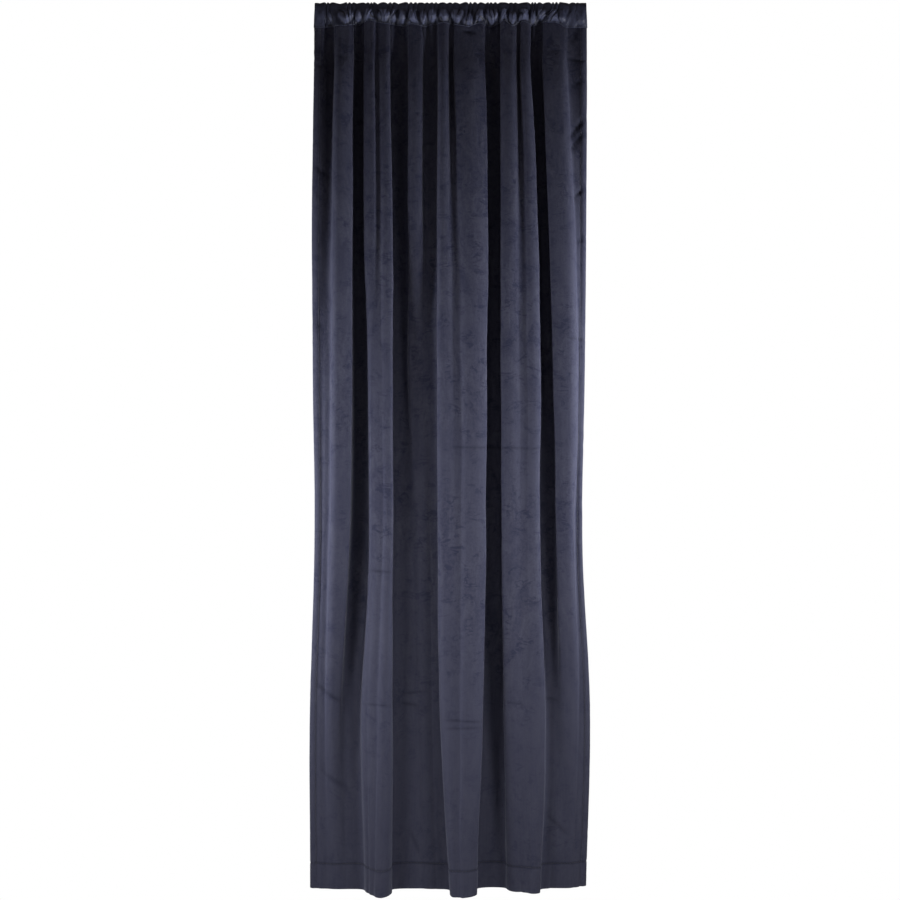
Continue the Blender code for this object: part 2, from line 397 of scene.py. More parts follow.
def new_object(name: str, data: bpy.types.ID) -> bpy.types.Object:
    """Puts a mesh, light or camera into the scene as an object."""
    made = bpy.data.objects.new(name, data)
    bpy.context.scene.collection.objects.link(made)
    return made


class Ripple(NamedTuple):
    """Smooth noise over the cloth: its height, how fine it is across and down, and its seed."""

    height: float
    across: float
    down: float
    seed: float

    def at(self, u: np.ndarray, v: np.ndarray) -> np.ndarray:
        """Its value at each point of two arrays of places across and down the cloth."""
        return self.height * noise_field(self.across * u, self.down * v, self.seed)

    def at_one(self, u: float, v: float) -> float:
        """Its value at one place across and down the cloth."""
        return self.height * soft_noise(self.across * u, self.down * v, self.seed)


class Crumple(NamedTuple):
    """Small sharp folds that slant over the heading: their height, fineness, slant and seed."""

    height: float
    across: float
    slant: float
    down: float
    seed: float

    def at(self, x: np.ndarray, z: np.ndarray) -> np.ndarray:
        """Its value at each point of two arrays of places, which is never below 0."""
        slanted = self.across * x + self.slant * z
        return self.height * np.abs(noise_field(slanted, self.down * z, self.seed))


class Wave(NamedTuple):
    """A sine wave over the cloth's width: its height, how fast it turns and its phase."""

    height: float
    pace: float
    phase: float = 0.0

    def at(self, places: np.ndarray) -> np.ndarray:
        """Its value at places from 0 to 1 across the cloth."""
        return self.height * np.sin(self.pace * places + self.phase)


class Swell(NamedTuple):
    """How large small gathers are: their mean size, and a change that comes and goes across."""

    mean: float
    change: Wave
    coming: float
    phase: float = 0.0

    def at(self, places: np.ndarray) -> np.ndarray:
        """The size at places from 0 to 1 across the cloth."""
        return self.mean + self.change.at(places) * np.cos(self.coming * places + self.phase)


@dataclass(frozen=True)
class FoldPlan:
    """The cloth's line seen from above, at any height, from the measured folds."""

    drop: float = 2.50
    cloth_width: float = 1.25
    pocket_height: float = 0.073
    shallow_hollow: float = 0.02
    deep_hollow: float = 0.04
    tuck_share: float = 0.5
    slack_share: float = 0.2
    wall_lean: float = 0.6
    floor_inset: float = 0.12
    floor_rise: float = 0.14
    least_depth_share: float = 0.85
    most_depth_share: float = 1.18
    depth_rounds: int = 20
    corner_rounds: int = 4
    seam_fold_share: float = 0.34
    seam_evenness: float = 0.12
    fold_reach: float = 0.17
    gather_count: float = 47.0
    gather_depth: float = 0.0052
    gather_reach: float = 0.13
    gather_on_faces: float = 0.22
    gather_sway: float = 2.4
    gather_waves: tuple[Wave, Wave] = (Wave(0.55, 19.0, 1.0), Wave(0.45, 47.0))
    gather_swell: Swell = Swell(0.62, Wave(0.38, 33.0), 13.0, 1.0)
    gather_length: float = 0.75
    gather_lengths: Wave = Wave(0.65, 71.0, 0.4)
    least_length: float = 0.1
    added_length: float = 0.35
    gather_lead: float = 0.035
    hollow_from: float = -0.016
    hollow_lead: float = 0.026
    wander: Ripple = Ripple(0.0022, 1.7, 4.5, 3.0)
    hem_crown: float = 0.4
    least_wall: float = 0.012
    full_wall: float = 0.03
    most_turn: float = 0.75
    face_middle: float = 0.45
    crisp_corner: float = 0.0014
    soft_corner: float = 0.0090
    deep_corner: float = 0.035
    widest_corner: float = 0.25
    corner_drop: float = 0.3
    low_softness: float = 0.6
    free_edge: float = 0.04
    calm_from: float = -1.45
    calm_span: float = 1.0
    flat_ends: tuple[float, float] = (-0.354, 0.325)
    flat_end_lead: float = 0.02
    seam_below_rim: float = 0.003

    def at_height(self, values: list[float], height: float) -> float:
        """Reads a value given at each level along a smooth curve through the levels.

        Args:
            values: The value at each level, from the top one down.
            height: Where to read it, in metres.

        Returns:
            The value there, held above the top level.
        """
        levels = [-level.value * CENTIMETRE for level in Level]
        if height >= levels[0]:
            return values[0]
        if height <= levels[-1]:
            return values[-1]
        slopes = np.gradient(values, levels)
        upper = max(i for i in range(len(levels) - 1) if height <= levels[i])
        span = levels[upper + 1] - levels[upper]
        t = (height - levels[upper]) / span
        start, end = values[upper], values[upper + 1]
        lead_out = span * slopes[upper] * t * (1 - t) ** 2
        lead_in = span * slopes[upper + 1] * t * t * (t - 1)
        return start + (end - start) * t * t * (3 - 2 * t) + lead_out + lead_in

    def folds_at(self, height: float) -> list[tuple[float, float, float, float]]:
        """Each fold's left edge, right edge, face and hollow at one height, in metres."""
        found = []
        for number, fold in enumerate(FOLDS):
            left, right, face, hollow = (
                self.at_height([section[k] for section in fold.sections], height)
                for k in range(4)
            )
            drift = self.wander.at_one(number, height) * (0 < number < len(FOLDS) - 1)
            found.append(
                (
                    left * CENTIMETRE + drift,
                    right * CENTIMETRE + drift,
                    face * MILLIMETRE,
                    hollow * MILLIMETRE,
                )
            )
        return found

    def face_points(
        self,
        fold: Fold,
        section: tuple[float, float, float, float],
        left_back: float,
        calm: float,
    ) -> list[tuple[float, float]]:
        """Seven points over a fold's face, which swells at its crest and turns back at its edges.

        Args:
            fold: The fold.
            section: Its left edge, right edge, face and hollow here.
            left_back: How far back the hollow on its left lies.
            calm: 1 where its edges turn back as above the knee, 0 as at the hem.

        Returns:
            The points' x and y, left to right.
        """
        left, right, face, hollow = section
        left_back = face + self.free_edge if fold is FOLDS[0] else left_back
        right_back = face + self.free_edge if fold is FOLDS[-1] else hollow
        crown = (self.hem_crown + (1.0 - self.hem_crown) * calm) * fold.crown * MILLIMETRE
        crown *= min(1.0, max(right_back - face, self.least_wall) / self.full_wall)
        upper, lower = fold.crests
        crest = left + (lower + calm * (upper - lower)) * (right - left)
        sides = []
        for k, (edge, back) in enumerate(((left, left_back), (right, right_back))):
            low, up = fold.hem_turns[k], fold.turns[k]
            turn = (low + calm * (up - low)) * MILLIMETRE
            turn = min(turn, self.most_turn * max(back - face, 0.0))
            inward, down = self.corner(back - face - turn, calm)
            share = min(inward / abs(crest - edge), self.widest_corner)
            side = [(edge, face + turn + down)]
            for t in (share, self.face_middle):
                bend = (crown + turn) * (1.0 - t) ** 2 - crown
                side.append((edge + t * (crest - edge), face + bend))
            sides.append(side)
        return [*sides[0], (crest, face - crown), *reversed(sides[1])]

    def corner(self, depth: float, calm: float) -> tuple[float, float]:
        """How far in and down a fold's corner starts, crisp high up beside a deep hollow."""
        soft = 1.0 - float(smooth(depth / self.deep_corner))
        soft += self.low_softness * (1.0 - calm) * (1.0 - soft)
        inward = self.crisp_corner + soft * (self.soft_corner - self.crisp_corner)
        return inward, min(self.crisp_corner, self.corner_drop * max(depth, 0.0))

    def hollow_points(
        self,
        start: tuple[float, float],
        end: tuple[float, float],
        hollow: float,
        leans: list[float],
    ) -> list[tuple[float, float]]:
        """Five points down one wall of a hollow, across its back and up the other wall.

        Args:
            start: The edge of the fold on its left, as x and y.
            end: The edge of the fold on its right.
            hollow: How far back the hollow lies.
            leans: How far its left and right walls lean into it, minus where they tuck in behind
                the folds.

        Returns:
            The points' x and y, left to right.
        """
        (left, left_y), (right, right_y) = start, end
        left_lean, right_lean = leans
        inset = self.floor_inset * (right - left)
        return [
            (left + self.wall_lean * left_lean, 0.5 * (left_y + hollow)),
            (left + left_lean + inset, hollow - self.floor_rise * (hollow - left_y)),
            (0.5 * (left + right + left_lean - right_lean), hollow),
            (right - right_lean - inset, hollow - self.floor_rise * (hollow - right_y)),
            (right - self.wall_lean * right_lean, 0.5 * (right_y + hollow)),
        ]

    def rounded(self, points: np.ndarray) -> np.ndarray:
        """The line with its corners cut off again and again, which leaves soft bends."""
        for _ in range(self.corner_rounds):
            start, end = points[:-1], points[1:]
            cut = np.empty((2 * len(start), 2))
            cut[0::2] = 0.75 * start + 0.25 * end
            cut[1::2] = 0.25 * start + 0.75 * end
            points = np.vstack([points[:1], cut, points[-1:]])
        return points

    def depth_share(self, points: np.ndarray) -> float:
        """What to scale the depths by, so that the line is as long as the cloth is wide."""
        steps = np.diff(points, axis=0)
        least, most = self.least_depth_share, self.most_depth_share
        for _ in range(self.depth_rounds):
            middle = 0.5 * (least + most)
            if np.hypot(steps[:, 0], middle * steps[:, 1]).sum() < self.cloth_width:
                least = middle
            else:
                most = middle
        return middle

    def calm(self, height: float) -> float:
        """1 down to the folds' full height, falling smoothly to 0 at the hem."""
        return 1.0 - float(smooth((self.calm_from - height) / self.calm_span))

    def gathered(self, x: np.ndarray) -> np.ndarray:
        """1 where the heading is gathered and 0 over its flat ends, from the centre line."""
        return between_ends(x, *self.flat_ends, self.flat_end_lead, self.flat_end_lead)

    def seam_heights(self, x: np.ndarray) -> np.ndarray:
        """The pocket's seam at places from the centre line, drawn up by the gathers."""
        drops = [pouch.drop * MILLIMETRE + self.seam_below_rim for pouch in POUCHES]
        drop = np.interp(x, [pouch.x * CENTIMETRE for pouch in POUCHES], drops)
        drawn_up = (self.pocket_height - drop).clip(0.0)
        return -self.pocket_height + drawn_up * self.gathered(x)

    def below_seam(self, height: float, reach: float) -> float:
        """1 at the pocket's seam, falling smoothly to 0 at a reach below it."""
        return 1.0 - float(smooth((-self.pocket_height - height) / reach))

    def gathers(self, places: np.ndarray, height: float) -> np.ndarray:
        """How far the seam's small gathers stand out, from -1 to 1, at places from 0 to 1."""
        sway = self.gather_sway * sum(wave.at(places) for wave in self.gather_waves)
        ridges = np.cos(2 * np.pi * self.gather_count * places + sway)
        longer = self.gather_length + self.gather_lengths.at(places)
        reach = self.gather_reach * (self.added_length + longer.clip(self.least_length))
        flat_ends = between_ends(places, 0.0, 1.0, self.gather_lead, self.gather_lead)
        fading = 1.0 - smooth((-self.pocket_height - height) / reach)
        return ridges * self.gather_swell.at(places) * flat_ends * fading

    def outline(self, height: float) -> tuple[np.ndarray, np.ndarray, np.ndarray]:
        """The cloth's bends at one height, before the seam gathers them.

        Args:
            height: The height, in metres.

        Returns:
            The bends' points, how far along the line each lies, and the inner folds' left and right
            edges along the line in turn, all as shares of its length.
        """
        folds = self.folds_at(height)
        faces = [
            self.face_points(fold, section, before[3], self.calm(height))
            for fold, section, before in zip(FOLDS, folds, [folds[0], *folds])
        ]
        points = list(faces[0])
        for i, (section, following) in enumerate(zip(folds, folds[1:])):
            left, right, face, hollow = section
            room = 0.5 * min(right - left, following[1] - following[0])
            leans = []
            for front in (face, following[2]):
                deep = (hollow - front - self.shallow_hollow) / self.deep_hollow
                deep = float(np.clip(deep, 0.0, 1.0))
                slack = self.slack_share * (following[0] - right)
                leans.append(slack * (1.0 - deep) - self.tuck_share * room * deep)
            points += self.hollow_points(faces[i][-1], faces[i + 1][0], hollow, leans)
            points += faces[i + 1]
        corners = np.array(points)
        first = (FACE_POINTS + HOLLOW_POINTS) * np.arange(1, len(folds) - 1)
        edges = corners[np.stack([first, first + FACE_POINTS - 1], axis=1).ravel()]
        bends = self.rounded(corners)
        nearest = [int(np.argmin(np.sum((bends - edge) ** 2, axis=1))) for edge in edges]
        bends[:, 1] *= self.depth_share(bends)
        lengths = np.hypot(*np.diff(bends, axis=0).T)
        along = np.concatenate([[0.0], np.cumsum(lengths)]) / lengths.sum()
        return bends, along, along[nearest]

    def line(self, height: float, places: np.ndarray) -> np.ndarray:
        """The cloth's line at one height.

        Args:
            height: The height, in metres.
            places: Where on the line its points lie, as shares of its length from the left.

        Returns:
            An array with one row of x and y for each place.
        """
        bends, along, _ = self.outline(height)
        x = np.interp(places, along, bends[:, 0])
        y = np.interp(places, along, bends[:, 1])
        even_x = x[0] + (x[-1] - x[0]) * places
        x += self.seam_evenness * self.below_seam(height, self.gather_reach) * (even_x - x)
        hollow = smooth((y - self.hollow_from) / self.hollow_lead)
        depth = self.gather_on_faces + (1.0 - self.gather_on_faces) * hollow
        y *= 1.0 - (1.0 - self.seam_fold_share) * self.below_seam(height, self.fold_reach)
        y += self.gather_depth * depth * self.gathers(places, height)
        return np.stack([x, y], axis=1)


@dataclass
class ClothGrid:
    """A sheet as rows and columns of points, each with its place on the flat cloth.

    Its painted shade is how much shade is painted into each point's colour in creases, grooves and
    notches, minus where a highlight is painted on stretched pouches, or None where none is painted.
    """

    points: np.ndarray
    cloth: np.ndarray
    closed_rows: bool = False
    creased: np.ndarray | None = None

    def normals(self) -> np.ndarray:
        """The way the front faces at each point, as an array of unit vectors."""
        across = np.gradient(self.points, axis=1)
        down = np.gradient(self.points, axis=0)
        facing = np.cross(down, across)
        return facing / np.linalg.norm(facing, axis=2, keepdims=True).clip(LEAST_LENGTH)

    def pushed(self, amounts: np.ndarray) -> None:
        """Moves each point forward along its normal, by an amount in metres."""
        self.points = self.points + self.normals() * amounts[:, :, None]

    def mesh(self, name: str) -> bpy.types.Mesh:
        """Makes the sheet's mesh, with a UV map in metres of flat cloth and the shade painted at
        each point.

        Args:
            name: The mesh's name.

        Returns:
            The mesh, one layer thick, with its front towards -Y.
        """
        rows, columns = self.points.shape[:2]
        sheet = bmesh.new()
        uv = sheet.loops.layers.uv.new("cloth")
        creased = sheet.verts.layers.float.new("creased")
        used = rows - 1 if self.closed_rows else rows
        corners = [
            [sheet.verts.new(self.points[row, column]) for column in range(columns)]
            for row in range(used)
        ]
        if self.creased is not None:
            for row in range(used):
                for column in range(columns):
                    corners[row][column][creased] = self.creased[row, column]
        if self.closed_rows:
            corners.append(corners[0])
        for row in range(rows - 1):
            for column in range(columns - 1):
                ring = ((row, column), (row + 1, column), (row + 1, column + 1), (row, column + 1))
                face = sheet.faces.new([corners[r][c] for r, c in ring])
                face.smooth = True
                for loop, (r, c) in zip(face.loops, ring):
                    loop[uv].uv = self.cloth[r, c]
        mesh = bpy.data.meshes.new(name)
        sheet.to_mesh(mesh)
        sheet.free()
        return mesh


class Ramp(NamedTuple):
    """An easing from start to end, as a value passes from low to high."""

    low: float
    high: float
    start: float
    end: float


class PileLayer(NamedTuple):
    """One scale of unevenness in the pile, as a noise pattern over the flat cloth.

    The stretch scales the places across and down first, where a small value draws the pattern out.
    """

    scale: float
    detail: float
    roughness: float = 0.5
    distortion: float = 0.0
    stretch: tuple[float, float, float] | None = None


class NodeCanvas:
    """Adds nodes and links to one node tree, a line for each node."""

    def __init__(self, tree: bpy.types.NodeTree) -> None:
        """Keeps the tree that the nodes go into."""
        self.tree = tree

    def add(self, kind: str, settings: dict | None = None, **inputs: object) -> bpy.types.Node:
        """Adds a node.

        Args:
            kind: The node's type, such as ShaderNodeMath.
            settings: The node's own properties.
            **inputs: A value or another node's output for each input, named as the socket is with
                spaces as underscores, or as in1 for the socket at place 1.

        Returns:
            The new node.
        """
        node = self.tree.nodes.new(kind)
        for name, value in (settings or {}).items():
            setattr(node, name, value)
        self.fill(node, **inputs)
        return node

    def fill(self, node: bpy.types.Node, **inputs: object) -> None:
        """Sets or links a node's inputs, named as for add."""
        for name, value in inputs.items():
            key = int(name[2:]) if name[2:].isdigit() else name.replace("_", " ")
            socket = node.inputs[key]
            if isinstance(value, bpy.types.NodeSocket):
                self.tree.links.new(value, socket)
            else:
                socket.default_value = value

    def math(self, operation: str, a: object, b: object = 0.0) -> bpy.types.NodeSocket:
        """The result of a sum on two values or outputs."""
        return self.add("ShaderNodeMath", {"operation": operation}, in0=a, in1=b).outputs[0]

    def plus(self, a: object, b: object) -> bpy.types.NodeSocket:
        """One value or output added to another."""
        return self.math("ADD", a, b)

    def minus(self, a: object, b: object) -> bpy.types.NodeSocket:
        """The second value or output taken from the first."""
        return self.math("SUBTRACT", a, b)

    def times(self, a: object, b: object) -> bpy.types.NodeSocket:
        """One value or output multiplied by another."""
        return self.math("MULTIPLY", a, b)

    def scaled(self, colour: object, share: bpy.types.NodeSocket) -> bpy.types.NodeSocket:
        """A colour made paler or darker by a share."""
        node = self.add("ShaderNodeVectorMath", {"operation": "SCALE"}, in0=colour, Scale=share)
        return node.outputs[0]

    def noise(self, place: bpy.types.NodeSocket, layer: PileLayer) -> bpy.types.NodeSocket:
        """A layer's noise, read at a place on the cloth."""
        if layer.stretch is not None:
            place = self.add("ShaderNodeMapping", in0=place, in3=layer.stretch).outputs[0]
        node = self.add(
            "ShaderNodeTexNoise",
            Vector=place,
            Scale=layer.scale,
            Detail=layer.detail,
            Roughness=layer.roughness,
            Distortion=layer.distortion,
        )
        return node.outputs[0]

    def eased(self, value: bpy.types.NodeSocket, ramp: Ramp) -> bpy.types.NodeSocket:
        """A value eased by a ramp."""
        node = self.add(
            "ShaderNodeMapRange",
            {"interpolation_type": "SMOOTHSTEP"},
            in0=value,
            in1=ramp.low,
            in2=ramp.high,
            in3=ramp.start,
            in4=ramp.end,
        )
        return node.outputs[0]

    def bump(self, strength: float, distance: float, height: object) -> bpy.types.NodeSocket:
        """The normal over a relief, from how strong and how deep it is and its height."""
        node = self.add("ShaderNodeBump", Strength=strength, Distance=distance, Height=height)
        return node.outputs[0]


@dataclass
class PileGroup:
    """The shader node group for pile cloth: its colour, with painted shade darkening its creases,
    its roughness and its height at each place.
    """

    name: str = "pile_cloth"
    broad: PileLayer = PileLayer(3.6, 2.0)
    crush: PileLayer = PileLayer(24.0, 6.0, 0.6, 0.9, (1.0, 0.42, 1.0))
    mottle: PileLayer = PileLayer(110.0, 6.0, 0.7, 0.8)
    nap: PileLayer = PileLayer(240.0, 3.0, 0.6, 0.0, (1.0, 0.06, 1.0))
    veins: PileLayer = PileLayer(34.0, 3.0, 0.6, 1.2, (0.45, 1.0, 1.0))
    spread: PileLayer = PileLayer(26.0, 1.0)
    grain: PileLayer = PileLayer(1500.0, 2.0)
    calm_low_down: Ramp = Ramp(-2.1, -1.5, 0.45, 1.0)
    worked_parts: Ramp = Ramp(0.32, 0.68, 0.45, 1.0)
    crush_marks: Ramp = Ramp(0.30, 0.70, -0.5, 0.5)
    mottle_marks: Ramp = Ramp(0.32, 0.68, -0.5, 0.5)
    vein_lines: Ramp = Ramp(0.012, 0.07, 1.0, 0.0)
    dented_parts: Ramp = Ramp(0.50, 0.62, 0.0, 1.0)
    mottle_share: float = 0.8
    grain_share: float = 0.2
    # How far painted shade draws the colour to its deep end, and how much more it darkens it.
    painted_crease_shade: float = 0.75
    painted_crease_darkening: float = 0.6
    crushed_gloss: float = -0.12
    mottle_relief: float = 0.5
    dent_relief: float = 0.8
    grain_relief: float = 0.08
    tree: bpy.types.NodeTree = field(init=False)

    def __post_init__(self) -> None:
        """Builds the group once, for every finish that uses it."""
        self.tree = bpy.data.node_groups.new(self.name, "ShaderNodeTree")
        for direction, name, kind, value in (
            ("INPUT", "Place", "NodeSocketVector", None),
            ("INPUT", "Creased", "NodeSocketFloat", 0.0),
            ("INPUT", "Deep", "NodeSocketColor", None),
            ("INPUT", "Pale", "NodeSocketColor", None),
            ("INPUT", "Roughness", "NodeSocketFloat", 0.8),
            ("INPUT", "Crush", "NodeSocketFloat", 1.0),
            ("INPUT", "Nap", "NodeSocketFloat", 0.3),
            ("INPUT", "Specks", "NodeSocketFloat", 0.4),
            ("OUTPUT", "Colour", "NodeSocketColor", None),
            ("OUTPUT", "Roughness", "NodeSocketFloat", None),
            ("OUTPUT", "Height", "NodeSocketFloat", None),
        ):
            socket = self.tree.interface.new_socket(name=name, in_out=direction, socket_type=kind)
            if value is not None:
                socket.default_value = value
        self.draw()

    def draw(self) -> None:
        """Places the group's nodes."""
        canvas = NodeCanvas(self.tree)
        given = canvas.add("NodeGroupInput").outputs
        flat = given["Place"]
        down = canvas.add("ShaderNodeSeparateXYZ", Vector=flat).outputs["Y"]
        grain = canvas.noise(flat, self.grain)
        worked = canvas.times(
            canvas.eased(canvas.noise(flat, self.broad), self.worked_parts),
            canvas.eased(down, self.calm_low_down),
        )
        marks = canvas.eased(canvas.noise(flat, self.crush), self.crush_marks)
        patches = canvas.eased(canvas.noise(flat, self.mottle), self.mottle_marks)
        off_line = canvas.math("ABSOLUTE", canvas.minus(canvas.noise(flat, self.veins), 0.5))
        dents = canvas.times(
            canvas.eased(off_line, self.vein_lines),
            canvas.eased(canvas.noise(flat, self.spread), self.dented_parts),
        )
        both = canvas.plus(marks, canvas.times(patches, self.mottle_share))
        both = canvas.times(canvas.times(both, worked), given["Crush"])
        combing = canvas.times(canvas.minus(canvas.noise(flat, self.nap), 0.5), given["Nap"])
        shade = canvas.plus(canvas.plus(both, combing), 0.5)
        dark = canvas.times(canvas.times(dents, worked), given["Specks"])
        shade = canvas.minus(shade, dark)
        # Painted shade: the colour is drawn towards its deep end where shade is painted in, and
        # paler where a highlight is painted.
        shade = canvas.minus(shade, canvas.times(given["Creased"], self.painted_crease_shade))
        shade = canvas.plus(shade, canvas.times(canvas.minus(grain, 0.5), self.grain_share))
        colour = canvas.add(
            "ShaderNodeMix",
            {"data_type": "RGBA", "clamp_factor": True},
            in0=shade,
            in6=given["Deep"],
            in7=given["Pale"],
        ).outputs[2]
        # Painted shade: the colour is darkened further where shade is painted in.
        kept = canvas.minus(1.0, canvas.times(given["Creased"], self.painted_crease_darkening))
        relief = canvas.plus(marks, canvas.times(patches, self.mottle_relief))
        relief = canvas.times(relief, worked)
        relief = canvas.minus(relief, canvas.times(dark, self.dent_relief))
        canvas.add(
            "NodeGroupOutput",
            Colour=canvas.scaled(colour, kept),
            Roughness=canvas.plus(given["Roughness"], canvas.times(both, self.crushed_gloss)),
            Height=canvas.plus(canvas.times(grain, self.grain_relief), relief),
        )


def new_material(name: str) -> tuple[bpy.types.Material, NodeCanvas, bpy.types.Node]:
    """A new material, the canvas for its nodes and its main shader."""
    material = bpy.data.materials.new(name)
    material.use_nodes = True
    return material, NodeCanvas(material.node_tree), material.node_tree.nodes["Principled BSDF"]


@dataclass(frozen=True)
class PileFinish:
    """Velvet with its pile up, brushed unevenly, with a pale sheen where it is seen edge on."""

    name: str
    deep: tuple[float, float, float] = (0.0148, 0.0167, 0.0420)
    pale: tuple[float, float, float] = (0.0436, 0.0458, 0.0758)
    roughness: float = 0.82
    specular: float = 0.25
    sheen: float = 0.30
    sheen_roughness: float = 0.42
    sheen_tint: tuple[float, float, float] = (0.72, 0.76, 1.0)
    crush: float = 0.55
    nap: float = 0.4
    specks: float = 0.6
    bump: float = 0.7
    bump_depth: float = 0.0012

    def material(self, group: PileGroup) -> bpy.types.Material:
        """Makes the finish's material.

        Args:
            group: The pile's shader node group.

        Returns:
            The material, which reads the cloth's own UV map.
        """
        material, canvas, shader = new_material(self.name)
        # Reads the shade painted into the cloth's points, which darkens its creases and lightens
        # its stretched pouches.
        crease = canvas.add("ShaderNodeAttribute", {"attribute_name": "creased"})
        pile = canvas.add(
            "ShaderNodeGroup",
            {"node_tree": group.tree},
            Place=canvas.add("ShaderNodeUVMap", {"uv_map": "cloth"}).outputs[0],
            Creased=crease.outputs["Fac"],
            Deep=(*self.deep, 1.0),
            Pale=(*self.pale, 1.0),
            Roughness=self.roughness,
            Crush=self.crush,
            Nap=self.nap,
            Specks=self.specks,
        ).outputs
        canvas.fill(
            shader,
            Base_Color=pile["Colour"],
            Roughness=pile["Roughness"],
            Normal=canvas.bump(self.bump, self.bump_depth, pile["Height"]),
            Specular_IOR_Level=self.specular,
            Sheen_Weight=self.sheen,
            Sheen_Roughness=self.sheen_roughness,
            Sheen_Tint=(*self.sheen_tint, 1.0),
        )
        return material


@dataclass(frozen=True)
class ThreadFinish:
    """Polyester sewing thread in the cloth's own navy."""

    name: str = "navy_thread"
    colour: tuple[float, float, float] = (0.018, 0.020, 0.038)
    roughness: float = 0.45
    twist: PileLayer = PileLayer(900.0, 1.0)
    bump: float = 0.3
    bump_depth: float = 0.0002

    def material(self) -> bpy.types.Material:
        """Makes the finish's material, with the thread's twist as a fine bump."""
        material, canvas, shader = new_material(self.name)
        fibre = canvas.noise(canvas.add("ShaderNodeTexCoord").outputs["Object"], self.twist)
        canvas.fill(
            shader,
            Base_Color=canvas.scaled(self.colour, canvas.plus(fibre, 0.5)),
            Roughness=self.roughness,
            Normal=canvas.bump(self.bump, self.bump_depth, fibre),
        )
        return material


@dataclass(frozen=True)
class WovenFinish:
    """The cloth's wrong side: a tight dull weave behind the pile."""

    name: str = "woven_back"
    colour: tuple[float, float, float] = (0.016, 0.017, 0.027)
    roughness: float = 0.9
    specular: float = 0.2
    thread_scale: float = 70.0
    thread_wander: float = 0.6
    thread_share: float = 0.45
    patches: PileLayer = PileLayer(14.0, 4.0)
    bump: float = 0.35
    bump_depth: float = 0.0003

    def material(self) -> bpy.types.Material:
        """Makes the finish's material, with warp and weft threads over the UV map."""
        material, canvas, shader = new_material(self.name)
        place = canvas.add("ShaderNodeUVMap", {"uv_map": "cloth"}).outputs[0]
        warp, weft = (
            canvas.add(
                "ShaderNodeTexWave",
                {"bands_direction": direction},
                Vector=place,
                Scale=self.thread_scale,
                Distortion=self.thread_wander,
                Detail=1.0,
            ).outputs[1]
            for direction in ("X", "Y")
        )
        weave = canvas.math("MAXIMUM", warp, weft)
        patches = canvas.noise(place, self.patches)
        shade = canvas.plus(canvas.times(weave, self.thread_share), patches)
        canvas.fill(
            shader,
            Base_Color=canvas.scaled(self.colour, shade),
            Roughness=self.roughness,
            Normal=canvas.bump(self.bump, self.bump_depth, weave),
            Specular_IOR_Level=self.specular,
        )
        return material


@dataclass(frozen=True)
class SeamRow:
    """One row of stitches, on one row or column of a sheet's grid."""

    index: int
    across: bool
    side: SeamSide
    cloth: float
    start: float = 0.003
    end: float = 0.003


